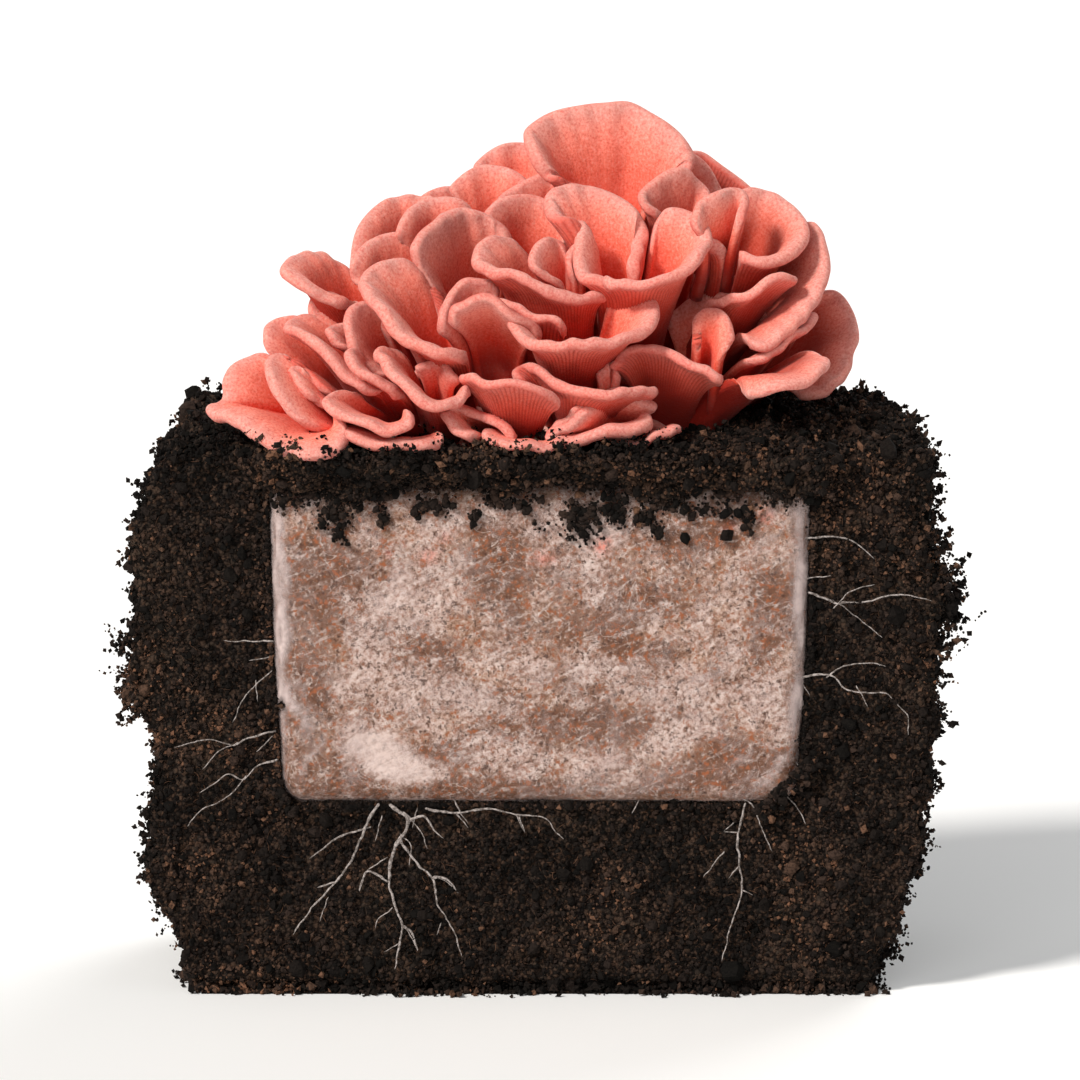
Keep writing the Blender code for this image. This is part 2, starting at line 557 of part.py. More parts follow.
def make_soil(parts, cutters, block_room, base):
    obj = subdivided_cube("soil", SOIL_CELLS)
    q = vertices(obj)
    t = q[:, 2] + 0.5
    z = SOIL_TOP * t
    left = np.interp(z, *zip(*SOIL_LEFT))
    right = np.interp(z, *zip(*SOIL_RIGHT))
    back = q[:, 1] + 0.5
    pull = 1 - 0.10 * back ** 3
    x = ((left + right) / 2 + (right - left) * q[:, 0] * pull)
    y = SOIL_FRONT + (SOIL_BACK - SOIL_FRONT) * back * (1 - 0.12 * (2 * q[:, 0]) ** 4 * back)
    p = np.column_stack([x, y, z])
    side = np.abs(q[:, 0]) > 0.49
    behind = q[:, 1] > 0.49
    lid = (q[:, 2] > 0.49)
    inner_lid = lid & ~side & ~behind & (q[:, 1] > -0.49)
    p[:, 0] += np.where(side & (back > 0.05), np.sign(q[:, 0]) * lumps(p, 14, 2.2), 0)
    p[:, 1] += np.where(behind & (t > 0.05), lumps(p, 17, 2.4) - 4 * (1 - np.sin(np.pi * t)), 0)
    p[:, 2] += np.where(inner_lid, lumps(p, 15, 0.9), 0)
    set_vertices(obj, p * MM)

    strip = subdivided_cube("strip", 6)
    s = vertices(strip)
    low, high = (np.array([STRIP[k][i] for k in "xyz"], float) for i in (0, 1))
    sp = low + (s + 0.5) * (high - low)
    hang = (s[:, 2] < -0.49)
    sp[:, 2] += np.where(hang, 4.5 * np.sin(sp[:, 0] / 9.0) + 2.5 * np.sin(sp[:, 0] / 4.3), 0)
    sp[:, 1] += np.where(s[:, 1] < -0.49, 5 * (2 * s[:, 0]) ** 4 + lumps(sp, 12, 1.0), 0)
    set_vertices(strip, sp * MM)
    move_to(strip, cutters)

    boolean(obj, strip, "UNION")
    boolean(obj, block_room, "DIFFERENCE")
    settle(obj)
    carve(obj, [base], cutters)
    move_to(obj, parts)
    return obj


def make_cap(name, foot, throat, rim, parts):
    length = np.linalg.norm(np.diff(rim, axis=0), axis=1).sum()
    cells = int(np.clip(round(length / CAP_CELL), 4, 9))
    bpy.ops.mesh.primitive_grid_add(x_subdivisions=cells, y_subdivisions=CAP_ROWS, size=1)
    obj = bpy.context.object
    obj.name = name
    q = vertices(obj)
    u, v = q[:, 0] + 0.5, q[:, 1] + 0.5
    v = 1 - (1 - v) ** 1.3
    set_vertices(obj, cap_surface(foot, throat, rim, u, v) * MM)
    thick = obj.vertex_groups.new(name="thickness")
    wanted = CAP_THICK + (STEM_THICK - CAP_THICK) * (1 - v) ** 2
    for index, value in enumerate(wanted / STEM_THICK):
        thick.add([index], value, "REPLACE")
    wall = obj.modifiers.new("flesh", "SOLIDIFY")
    wall.thickness = STEM_THICK * MM
    wall.offset = 0
    wall.vertex_group = "thickness"
    settle(obj)
    move_to(obj, parts)
    return obj


def all_caps():
    front = [(name, *(in_part_frame(p) for p in (foot, throat, rim))) for name, foot, throat, rim in CAPS]
    for name, foot, throat, rim in front:
        yield name, foot[0], throat[0], rim
    for name, *shape in FAR_CAPS:
        yield name, *far_cap(*shape)


def make_cluster(parts, cutters, base, soil):
    """Every cap gives way to the stem base, the soil and the caps that were made before it."""
    made = [base, soil]
    for name, foot, throat, rim in all_caps():
        cap = make_cap(name, foot, throat, rim, parts)
        carve(cap, [other for other in made if boxes_meet(cap, other)], cutters)
        made.append(cap)
    return made[2:]


def make_strand(name, thick, runs, parts):
    """A forked strand: runs of edges that share their fork points, wrapped in a skin."""
    depth = SOIL_FRONT - GAP - 1.3 * thick
    points, edges, widths = [], [], []
    index = {}
    for run_no, run in enumerate(runs):
        flat = np.array([(x, up, depth) for x, up in run])
        for k, at in enumerate(run):
            if at not in index:
                index[at] = len(points)
                points.append(in_part_frame(flat[k])[0])
                widths.append(thick * (1 - 0.45 * k / len(run)) * (0.75 if run_no else 1))
        edges += [(index[a], index[b]) for a, b in zip(run, run[1:])]
    mesh = bpy.data.meshes.new(name)
    mesh.from_pydata([tuple(p * MM) for p in points], edges, [])
    obj = bpy.data.objects.new(name, mesh)
    parts.objects.link(obj)
    skin = obj.modifiers.new("skin", "SKIN")
    for place, width in zip(mesh.skin_vertices[0].data, widths):
        place.radius = (width * MM, width * MM)
    mesh.skin_vertices[0].data[0].use_root = True
    skin.use_x_symmetry = False
    settle(obj)
    return obj


def main():
    clear_scene()
    parts = collection("oyster_mushroom_grow_bag")
    cutters = collection("cutters")

    block = make_block(parts)
    bag = make_bag(parts)
    base = make_base(parts)
    block_room = block_form("pocket", 2 * GAP + FILM)
    move_to(block_room, cutters)
    soil = make_soil(parts, cutters, block_room, base)
    caps = make_cluster(parts, cutters, base, soil)
    strands = [make_strand(name, thick, runs, parts) for name, (thick, runs) in STRANDS.items()]

    for extra in list(cutters.objects):
        bpy.data.objects.remove(extra, do_unlink=True)

    finish([base], material("stem flesh", FLESH, 0.75))
    finish([soil], material("casing soil", SOIL_BLACK, 0.95))
    finish([block], material("colonised sawdust", SAWDUST, 0.9))
    finish([bag], material("polypropylene film", FILM_CLEAR, 0.2, alpha=0.3))
    finish(strands, material("mycelium", MYCELIUM, 0.9))
    finish(caps, material("oyster flesh", PINK, 0.7))


main()
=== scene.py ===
# %% [markdown]
# # A pink oyster mushroom grow bag
# A grow bag is a block of damp sawdust that mushroom threads, the mycelium, have grown through, held in a
# clear film bag. This one stands in a clod of dark casing soil that is cut open at the front. A cluster of
# pink oyster mushrooms grows out of its top, and threads run from the block over the cut soil.
# Almost every piece is worked out as a surface: a formula takes two numbers, such as how far round and how
# far out, and gives a point in space.

# %% The fixed frame that every piece is fitted to
import itertools
import math

import bpy
import numpy as np
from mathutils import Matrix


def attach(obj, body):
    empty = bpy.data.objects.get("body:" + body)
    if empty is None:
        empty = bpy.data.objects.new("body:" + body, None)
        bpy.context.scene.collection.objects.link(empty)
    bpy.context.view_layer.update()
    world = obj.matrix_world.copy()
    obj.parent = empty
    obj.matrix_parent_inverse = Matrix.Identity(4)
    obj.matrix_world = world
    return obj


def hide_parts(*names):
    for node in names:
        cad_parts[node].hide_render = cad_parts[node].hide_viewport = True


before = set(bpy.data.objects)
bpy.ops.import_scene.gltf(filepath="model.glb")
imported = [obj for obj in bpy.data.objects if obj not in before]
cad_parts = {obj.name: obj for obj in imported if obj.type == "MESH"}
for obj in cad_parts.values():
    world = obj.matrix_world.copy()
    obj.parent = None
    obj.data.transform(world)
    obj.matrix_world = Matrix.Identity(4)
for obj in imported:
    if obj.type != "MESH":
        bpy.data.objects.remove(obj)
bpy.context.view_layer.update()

# %% [markdown]
# ## Lengths and directions
# Growers measure in millimetres, and so does every length below; one function turns it to metres when a mesh
# is made. X runs to the right, Y away from the viewer and Z up. The cluster is laid out as an observer in
# front of the cut sees it, looking down by a few degrees: a point is (across, up, depth), with up measured in
# the plane of view that stands on the clod's front foot.

# %% The main sizes
MM = 0.001
VIEW_TILT = math.radians(8)  # how far the observer looks down
SOIL_FRONT, SOIL_BACK, SOIL_TOP = -75.0, 78.0, 203.0
SOIL_LEFT = [(0, -126), (18, -133), (38, -145), (80, -143), (96, -138), (111, -150), (139, -147),
             (165, -149), (190, -141), (203, -137)]  # (height, x) up the left side
SOIL_RIGHT = [(0, 118), (20, 130), (39, 138), (60, 142), (96, 142), (150, 148), (165, 143),
              (190, 146), (203, 142)]  # (height, x) up the right side
BLOCK_SIZE = np.array([200.0, 120.0, 120.0])
BLOCK_FLOOR, BLOCK_FRONT, BLOCK_TAPER, BLOCK_ROUND = 72.0, -80.0, 0.05, 9.0
BLOCK_TOP = BLOCK_FLOOR + BLOCK_SIZE[2]
BASE_CENTRE = np.array([-5.0, -15.0, 203.0])
BASE_RADII = np.array([72.0, 46.0, 24.0])


def in_part_frame(points):
    """(across, up, depth) to (x, y, z): up = z cos(tilt) + (y - front) sin(tilt), solved for z."""
    across, up, depth = np.asarray(points, float).reshape(-1, 3).T
    z = (up - (depth - SOIL_FRONT) * math.sin(VIEW_TILT)) / math.cos(VIEW_TILT)
    return np.column_stack([across, depth, z])


print("a point 200 mm up in the cut face is at", in_part_frame((0, 200, SOIL_FRONT))[0].round(1))

# %% [markdown]
# ## Putting a surface into a mesh
# A surface comes as rows and columns of points. Neighbouring points make the corners of triangles. Where a
# surface closes on itself two corners fall on the same spot: those are made one, and triangles that have no
# area left are dropped, so the piece is closed like the real thing.

# %% Grids and closed surfaces
def grid_triangles(rows, columns, wrap_rows=False, wrap_columns=False):
    """Corner numbers of the two triangles of every cell of a grid of points, row after row."""
    r = np.arange(rows if wrap_rows else rows - 1)[:, None]
    c = np.arange(columns if wrap_columns else columns - 1)[None, :]
    r2, c2 = (r + 1) % rows, (c + 1) % columns
    a, b, d, e = ((row * columns + column).ravel() for row, column in ((r, c), (r, c2), (r2, c2), (r2, c)))
    return np.concatenate([np.column_stack([a, b, d]), np.column_stack([a, d, e])])


def weld(points, triangles, attributes):
    """Corners on the same spot, to a ten thousandth of a millimetre, become one."""
    _, first, number = np.unique(np.round(points, 4), axis=0, return_index=True, return_inverse=True)
    triangles = number.reshape(-1)[triangles]
    whole = ((triangles[:, 0] != triangles[:, 1]) & (triangles[:, 1] != triangles[:, 2])
             & (triangles[:, 2] != triangles[:, 0]))
    return points[first], triangles[whole], {key: value[first] for key, value in attributes.items()}


def outwards(points, triangles):
    """Turns the triangles round if they enclose a negative volume."""
    a, b, c = points[triangles[:, 0]], points[triangles[:, 1]], points[triangles[:, 2]]
    volume = np.einsum("ij,ij->i", a, np.cross(b, c)).sum() / 6
    return triangles if volume > 0 else triangles[:, ::-1]


print("a grid of 3 by 3 points makes", len(grid_triangles(3, 3)), "triangles")

# %% [markdown]
# A piece's points go into a mesh in metres, with the values that its finish reads. It rides on the only body,
# since nothing here moves.

# %% One piece
made_triangles = {}


def piece(name, points, triangles, look, slot, smooth=True, attributes=None, closed=True):
    """Makes one object of points in millimetres, rides it on the body and gives it its finish."""
    attributes = attributes or {}
    if closed:
        points, triangles, attributes = weld(points, triangles, attributes)
        triangles = outwards(points, triangles)
    mesh = bpy.data.meshes.new(name)
    mesh.vertices.add(len(points))
    mesh.vertices.foreach_set("co", (points * MM).ravel())
    mesh.loops.add(3 * len(triangles))
    mesh.loops.foreach_set("vertex_index", triangles.astype(np.int32).ravel())
    mesh.polygons.add(len(triangles))
    mesh.polygons.foreach_set("loop_start", np.arange(0, 3 * len(triangles), 3, dtype=np.int32))
    mesh.polygons.foreach_set("use_smooth", np.full(len(triangles), smooth))
    mesh.update(calc_edges=True)
    for key, value in attributes.items():
        kind = "FLOAT" if value.ndim == 1 else "FLOAT_VECTOR"
        mesh.attributes.new(key, kind, "POINT").data.foreach_set(
            "value" if value.ndim == 1 else "vector", value.astype(np.float32).ravel())
    mesh.materials.append(look)
    obj = bpy.data.objects.new(name, mesh)
    bpy.context.scene.collection.objects.link(obj)
    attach(obj, "root")
    made_triangles[name] = len(triangles)
    return obj


# %% [markdown]
# ## Unevenness
# Soil, flesh and film are never even. Value noise is the usual way to get that: random numbers sit on the
# corners of a lattice, and between them the value glides. The lattice's step is the size of the lumps in mm.

# %% Noise, and a few small helpers
def noise(points, size, seed):
    """Random heights between -1 and 1 on a lattice of that size, blended smoothly between its corners."""
    table = np.random.default_rng(seed).uniform(-1, 1, (24, 24, 24))
    q = np.asarray(points, float) / size
    cell = np.floor(q).astype(int)
    f = q - cell
    f = f * f * (3 - 2 * f)
    total = np.zeros(q.shape[:-1])
    for corner in itertools.product((0, 1), repeat=3):
        share = np.prod(np.where(np.array(corner) == 1, f, 1 - f), axis=-1)
        i, j, k = np.moveaxis((cell + corner) % 24, -1, 0)
        total += share * table[i, j, k]
    return total


def step(low, high, x):
    """0 below low, 1 above high, and an S curve between."""
    t = np.clip((np.asarray(x, float) - low) / (high - low), 0, 1)
    return t * t * (3 - 2 * t)


def unit(v):
    """The same directions with a length of one."""
    return v / np.maximum(np.linalg.norm(v, axis=-1, keepdims=True), 1e-9)


print("noise at two spots:", noise(np.array([[1.0, 2, 3], [9.0, 2, 3]]), 5, 1).round(3))

# %% [markdown]
# ## Finishes
# Each finish starts from what the real surface is. Colours are written as sRGB hex values, as a colour picker
# shows them, and turned to the linear values that light is worked out with. A node is added with its
# settings, its inputs are linked or set, and its result is handed back.

# %% Colour and node helpers
def colour(hex_code):
    """sRGB hex to linear light: below 0.04045 a straight line, above it a power of 2.4."""
    c = np.array([int(hex_code[i:i + 2], 16) for i in (1, 3, 5)]) / 255
    return (*np.where(c <= 0.04045, c / 12.92, ((c + 0.055) / 1.055) ** 2.4), 1.0)


def add(tree, kind, inputs=None, output=None, **settings):
    """One node: settings are its own properties, and an input is linked if it is a socket, or else set."""
    made = tree.nodes.new("ShaderNode" + kind)
    for key, value in settings.items():
        setattr(made, key, value)
    for key, value in (inputs or {}).items():
        if isinstance(value, bpy.types.NodeSocket):
            tree.links.new(value, made.inputs[key])
        else:
            made.inputs[key].default_value = value
    return made.outputs[output] if output else next(s for s in made.outputs if s.enabled)


def finish(name, **sockets):
    """A material with a Principled shader whose plain sockets are set."""
    made = bpy.data.materials.new(name)
    made.use_nodes = True
    shader = made.node_tree.nodes["Principled BSDF"]
    for key, value in sockets.items():
        shader.inputs[key.replace("_", " ")].default_value = value
    return made, made.node_tree, shader


PER_MM = 1 / MM  # a noise with this scale has lumps of one millimetre
print("linear salmon:", np.round(colour("#EE7C66"), 3))

# %% [markdown]
# Nearly every natural colour is one laid over another where something is the case: darker in the valleys,
# paler on the tufts. A layer is a mask, the two values of it where the layer begins and is full, how much
# of it there is then, its colour, and perhaps a second mask that its share is multiplied by.

# %% Colour in layers
def laid_over(tree, base, layers):
    """Each layer's share rises from 0 at its mask's first value to the full share at its second."""
    for mask, begins, is_full, full_share, hex_code, *second in layers:
        share = add(tree, "MapRange", {0: mask, 1: begins, 2: is_full, 3: 0.0, 4: full_share})
        for other in second:
            share = add(tree, "Math", {0: share, 1: other}, operation="MULTIPLY")
        base = add(tree, "Mix", {0: share, 6: base, 7: colour(hex_code)}, data_type="RGBA")
    return base


def set_stops(ramp, first, between, last):
    """The colours of a colour ramp: at 0, at the (place, colour) pairs in between, and at 1."""
    for at, hex_code in between:
        ramp.elements.new(at).color = colour(hex_code)
    ramp.elements[0].color, ramp.elements[-1].color = colour(first), colour(last)


def wear(shader, **results):
    """Links what was worked out to the shader's sockets of those names."""
    for key, value in results.items():
        shader.id_data.links.new(value, shader.inputs[key.replace("_", " ")])


print("a layer makes 2 nodes, or 3 with a second mask")

# %% [markdown]
# ### Oyster mushroom flesh
# The flesh is soft, damp and slightly see-through, so light goes in and comes out redder: that is subsurface
# scattering over a few millimetres. A felt of fine hairs catches light at grazing angles, which is what the
# sheen is for, and it is never glossy. The rim is the palest part, the hollow is salmon and the depths are
# blood red, partly the flesh's own colour and partly painted shade. So the colour is read from a value that
# the cap's surface carries: 0 at the foot, 1 at the rim.

# %% The flesh of the caps: colour
felted_flesh, tree, shader = finish(
    "oyster flesh, felted, damp", Roughness=0.80, IOR=1.40, Subsurface_Weight=0.22, Subsurface_Scale=0.0030,
    Sheen_Weight=0.12, Sheen_Roughness=0.5, Specular_IOR_Level=0.2)
shader.inputs["Subsurface Radius"].default_value = (1.0, 0.25, 0.16)
shader.inputs["Sheen Tint"].default_value = colour("#FFD9D2")
place = add(tree, "TexCoord", output="Object")
outness, under, ridge, painted_right_shade = (add(tree, "Attribute", output="Fac", attribute_name=name)
                              for name in ("outness", "underside", "ridge", "painted_right_shade"))
flesh = add(tree, "ValToRGB", {0: outness})
# darkest at the foot: the flesh's own deeper red, and painted shade in the depths
set_stops(flesh.node.color_ramp, "#6E0F0A",
          ((0.34, "#A6170C"), (0.54, "#E64830"), (0.74, "#F5735B"), (0.90, "#F08976")), "#DC9488")
clouds = add(tree, "TexNoise", {"Vector": place, "Scale": PER_MM / 16, "Detail": 2.0})
flesh = laid_over(tree, flesh, [(clouds, 0.42, 0.70, 0.25, "#F08E7A")])
print("flesh nodes so far:", len(tree.nodes))

# %% [markdown]
# Two grains lie over that colour: a fine felt, and fibrils that run out from the hollow to the rim. The
# fibrils' noise reads lengths along the rim and out from the foot, and is stretched along the second. The
# underside is redder, partly its own colour and partly painted shade, and painted shade darkens its depths
# and the valleys between the gills; the caps on the right are painted darker inside, as shade away from the
# light.

# %% The flesh of the caps: felt, fibrils and gills
tufts = add(tree, "TexNoise", {"Vector": place, "Scale": PER_MM / 1.0, "Detail": 3.0, "Roughness": 0.65})
spread = add(tree, "Attribute", output="Vector", attribute_name="spread")
spread = add(tree, "Mapping", {"Vector": spread, "Scale": (1.0, 0.16, 1.0)})
fibrils = add(tree, "TexNoise", {"Vector": spread, "Scale": 0.85, "Detail": 3.0, "Roughness": 0.6})
towards_rim = add(tree, "MapRange", {0: outness, 1: 0.45, 2: 0.95, 3: 0.1})
flesh = laid_over(tree, flesh, [
    (tufts, 0.50, 0.70, 0.50, "#F4BBAE", towards_rim),  # pale tufts of felt
    (tufts, 0.49, 0.31, 0.46, "#C02A18"),  # and the deeper spots between them
    (fibrils, 0.52, 0.32, 0.15, "#CC5242"),
    # the underside is redder: partly its own colour, partly painted shade
    (under, 0.0, 1.0, 0.62, "#D03F2A"),
    (outness, 0.85, 0.40, 0.70, "#8C1209", under),  # painted shade in the underside's depths
    # painted shade: the right-hand caps are darker inside, away from the light
    (outness, 0.97, 0.78, 0.75, "#7A140C", painted_right_shade),
    (ridge, 0.60, 0.0, 0.50, "#9C2216", under)])  # painted shade in the valleys between the gills
wrinkled = add(tree, "MapRange", {0: under, 3: 0.30, 4: 0.85})
felt = add(tree, "Bump", {"Strength": wrinkled, "Distance": 0.50 * MM, "Height": tufts})
felt = add(tree, "Bump", {"Strength": 0.40, "Distance": 0.45 * MM, "Height": fibrils, "Normal": felt})
wear(shader, Base_Color=flesh, Normal=felt)
print("flesh nodes:", len(tree.nodes))

# %% [markdown]
# ### The fused foot
# All the stems of a cluster grow together at their foot. There the flesh is paler, almost white where it
# meets the block, and it is fibrous and not felted.

# %% The flesh of the foot
foot_flesh, tree, shader = finish(
    "oyster stem flesh, fibrous, damp", Roughness=0.7, IOR=1.40, Subsurface_Weight=0.25,
    Subsurface_Scale=0.003)
shader.inputs["Subsurface Radius"].default_value = (1.0, 0.4, 0.28)
place = add(tree, "TexCoord", output="Object")
upright = add(tree, "Mapping", {"Vector": place, "Scale": (1.0, 1.0, 0.35)})
threads = add(tree, "TexNoise", {"Vector": upright, "Scale": PER_MM / 2.2, "Detail": 4.0})
clouds = add(tree, "TexNoise", {"Vector": place, "Scale": PER_MM / 9})
pale = laid_over(tree, colour("#C86C5C"), [(clouds, 0.38, 0.66, 1.0, "#DDA496"),
                                           (threads, 0.55, 0.36, 0.7, "#A04034")])
bump = add(tree, "Bump", {"Strength": 0.6, "Distance": 0.6 * MM, "Height": threads})
wear(shader, Base_Color=pale, Normal=bump)
print("foot nodes:", len(tree.nodes))

# %% [markdown]
# ### Casing soil
# Casing soil is peat and composted bark: almost black while moist, with brown crumbs and pale fibres in it.
# It scatters light from countless small faces, so it is matt. The clod looks packed from crumbs: its cells,
# each the space nearest to one random point, have a tone each, stand out as small domes and are painted black
# in the gaps, as shade.

# %% The clod
moist_soil, tree, shader = finish("casing soil, moist peat", Roughness=0.95, IOR=1.35,
                                  Specular_IOR_Level=0.15)
place = add(tree, "TexCoord", output="Object")
grit = add(tree, "TexNoise", {"Vector": place, "Scale": PER_MM / 2.4, "Detail": 5.0, "Roughness": 0.7})
clouds = add(tree, "TexNoise", {"Vector": place, "Scale": PER_MM / 20, "Detail": 3.0})
warp = add(tree, "TexNoise", {"Vector": place, "Scale": PER_MM / 2.2, "Detail": 3.0}, output="Color")
warped = add(tree, "VectorMath", {0: warp, 1: (1.8 * MM,) * 3, 2: place}, operation="MULTIPLY_ADD")
gap = add(tree, "TexVoronoi", {"Vector": warped, "Scale": PER_MM / 1.7}, output="Distance")
dark = laid_over(tree, colour("#1F1B18"), [
    (clouds, 0.42, 0.64, 1.0, "#3D322A"),
    (grit, 0.56, 0.70, 0.85, "#543D30"),  # bits of bark
    (gap.node.outputs["Color"], 0.35, 0.80, 0.75, "#4B382C"),  # every cell's own tone
    (gap, 0.40, 0.66, 0.85, "#050404")])  # painted shade: the cracks between cells are near black
bump = add(tree, "Bump", {"Strength": 0.8, "Distance": 1.2 * MM, "Height": grit})
bump = add(tree, "Bump", {"Strength": 0.9, "Distance": 1.2 * MM, "Height": gap, "Normal": bump}, invert=True)
wear(shader, Base_Color=dark, Normal=bump)
print("clod nodes:", len(tree.nodes))

# %% [markdown]
# The loose crumbs and the root fibres have a finish each. Both carry a tone of their own, so that no two
# neighbours are alike, and a crumb is pitted too, with painted shade darkening its pits.

# %% Crumbs and root fibres
soil_crumbs, tree, shader = finish("soil crumbs, peat and bark", Roughness=0.95, IOR=1.35,
                                   Specular_IOR_Level=0.15)
place = add(tree, "TexCoord", output="Object")
tone = add(tree, "Attribute", output="Fac", attribute_name="tone")
dark = add(tree, "ValToRGB", {0: tone})
set_stops(dark.node.color_ramp, "#110F0D",
          ((0.25, "#29211D"), (0.50, "#403129"), (0.80, "#5A4335")), "#71503D")
grit = add(tree, "TexNoise", {"Vector": place, "Scale": PER_MM, "Detail": 2.0})
# painted shade: the crumb is darker in its pits
dark = laid_over(tree, dark, [(grit, 0.55, 0.35, 0.6, "#060505")])
bump = add(tree, "Bump", {"Strength": 0.7, "Distance": 0.5 * MM, "Height": grit})
wear(shader, Base_Color=dark, Normal=bump)

root_fibre, tree, shader = finish("dry root fibre", Roughness=0.85, IOR=1.45, Specular_IOR_Level=0.2)
tone = add(tree, "Attribute", output="Fac", attribute_name="tone")
shade = laid_over(tree, colour("#211812"), [(tone, 0.0, 1.0, 1.0, "#5E4231")])
wear(shader, Base_Color=shade)
print("fibre nodes:", len(tree.nodes))

# %% [markdown]
# ### Colonised sawdust
# Beech sawdust is tan. The mycelium that has grown through it is white, dense in some places and thin in
# others, so the block is mottled at every scale: swirling clouds of some centimetres, a veil of some
# millimetres, hair-thin threads, and single chips as rusty specks. The largest clouds are values that the
# block's surface carries. Distortion turns a noise's blots to swirls.

# %% The block: sawdust and its mycelium
colonised_sawdust, tree, shader = finish("colonised beech sawdust, matt", Roughness=0.88, IOR=1.40,
                                         Specular_IOR_Level=0.3)
place = add(tree, "TexCoord", output="Object")
white_patch, brown_patch, blush_patch = (add(tree, "Attribute", output="Fac", attribute_name=name)
                                         for name in ("white", "brown", "blush"))
wide = add(tree, "TexNoise", {"Vector": place, "Scale": PER_MM / 34, "Detail": 4.0, "Roughness": 0.6,
                              "Distortion": 1.2})
browner = add(tree, "MapRange", {0: wide, 1: 0.44, 2: 0.62, 3: 0.85, 4: 0.0})
browner = add(tree, "Math", {0: browner, 1: brown_patch}, operation="ADD", use_clamp=True)
veil = add(tree, "TexNoise", {"Vector": place, "Scale": PER_MM / 13, "Detail": 9.0, "Roughness": 0.78,
                              "Distortion": 0.35})
thinner = add(tree, "Math", {0: brown_patch, 1: white_patch}, operation="SUBTRACT")
shifted = add(tree, "Math", {0: thinner, 1: 0.17}, operation="MULTIPLY")
shifted = add(tree, "Math", {0: veil, 1: shifted}, operation="SUBTRACT")
veiled = add(tree, "MapRange", {0: shifted, 1: 0.43, 2: 0.60, 3: 0.0, 4: 0.85})
sawdust = laid_over(tree, colour("#A5836F"), [(browner, 0.0, 1.0, 1.0, "#664534"),
                                              (veiled, 0.0, 1.0, 1.0, "#C3ABA2")])
print("block nodes so far:", len(tree.nodes))

# %% [markdown]
# Wisps are a noise stretched along a slanting line and then warped, as the growth creeps that way. A thread
# is where a noise crosses its middle value: the distance to that crossing, cut off sharply, leaves thin
# winding lines. Chips are the tops of a fine noise, rusty where the wood still shows. Where young mushrooms
# are about to form, the growth blushes pink.

# %% The block: threads, chips and blush
slanted = add(tree, "Mapping", {"Vector": place, "Rotation": (0.0, 0.45, 0.0)})
slanted = add(tree, "Mapping", {"Vector": slanted, "Scale": (0.30, 1.0, 1.0)})
wisps = add(tree, "TexNoise", {"Vector": slanted, "Scale": PER_MM / 4.5, "Detail": 7.0, "Roughness": 0.62,
                               "Distortion": 1.6})
warped = add(tree, "TexNoise", {"Vector": place, "Scale": PER_MM / 12, "Detail": 2.0, "Roughness": 0.5,
                                "Distortion": 0.8})
crossing = add(tree, "Math", {0: warped, 1: 0.5}, operation="SUBTRACT")
crossing = add(tree, "Math", {0: crossing}, operation="ABSOLUTE")
dust = add(tree, "TexNoise", {"Vector": place, "Scale": PER_MM / 2.0, "Detail": 4.0, "Roughness": 0.75})
moved = add(tree, "Mapping", {"Vector": place, "Location": (0.3, 0.1, 0.2)})
chips = add(tree, "TexNoise", {"Vector": moved, "Scale": PER_MM / 1.9, "Detail": 3.0, "Roughness": 0.7})
bare_wood = add(tree, "MapRange", {0: veiled, 1: 0.1, 2: 0.8, 3: 1.0, 4: 0.25})
dense = add(tree, "Math", {0: wisps, 1: 0.5}, operation="SUBTRACT")
dense = add(tree, "Math", {0: dense, 1: white_patch})
sawdust = laid_over(tree, sawdust, [
    (wisps, 0.52, 0.66, 0.50, "#D6C6BF"),
    (wisps, 0.47, 0.34, 0.45, "#74523F"),
    (crossing, 0.009, 0.001, 0.42, "#DCCEC6"),  # threads
    (dust, 0.52, 0.38, 0.85, "#6A4838"),
    (dust, 0.54, 0.68, 0.50, "#DDCDC5"),
    (chips, 0.56, 0.62, 1.0, "#905436", bare_wood),
    (chips, 0.43, 0.35, 0.90, "#493229"),
    (dense, 0.55, 1.15, 0.80, "#D5C1BA"),  # the white patches' thick growth
    (dust, 0.40, 0.60, 1.0, "#D97460", blush_patch)])
bump = add(tree, "Bump", {"Strength": 0.5, "Distance": 0.8 * MM, "Height": veil})
bump = add(tree, "Bump", {"Strength": 0.6, "Distance": 0.6 * MM, "Height": dust, "Normal": bump})
wear(shader, Base_Color=sawdust, Normal=bump)
print("block nodes:", len(tree.nodes))

# %% [markdown]
# ### Polypropylene film
# The bag is thin blown film. It is clear where it clings to the block, and milky where it is folded, creased
# or seen edge on. So thin a film hardly bends light, so its alpha does the job: the surface carries how milky
# it is, and Layer Weight adds the edge-on part.

# %% The bag's film
film, tree, shader = finish("polypropylene film, blown, clear", Roughness=0.42, IOR=1.49,
                            Specular_IOR_Level=0.35)
shader.inputs["Base Color"].default_value = colour("#CDB9B4")
place = add(tree, "TexCoord", output="Object")
milky = add(tree, "Attribute", output="Fac", attribute_name="milky")
edge_on = add(tree, "LayerWeight", {"Blend": 0.25}, output="Facing")
edge_on = add(tree, "MapRange", {0: edge_on, 1: 0.3, 2: 1.0, 3: 0.0, 4: 0.25})
haze = add(tree, "TexNoise", {"Vector": place, "Scale": PER_MM / 9, "Detail": 6.0, "Roughness": 0.65,
                              "Distortion": 0.6})
fog = add(tree, "MapRange", {0: haze, 1: 0.45, 2: 0.75, 3: 0.0, 4: 0.12})
uneven = add(tree, "MapRange", {0: haze, 1: 0.35, 2: 0.60, 3: 0.55, 4: 1.15})
cover = add(tree, "Math", {0: milky, 1: uneven}, operation="MULTIPLY")
cover = add(tree, "Math", {0: cover, 1: edge_on}, operation="ADD")
cover = add(tree, "Math", {0: cover, 1: fog}, operation="ADD", use_clamp=True)
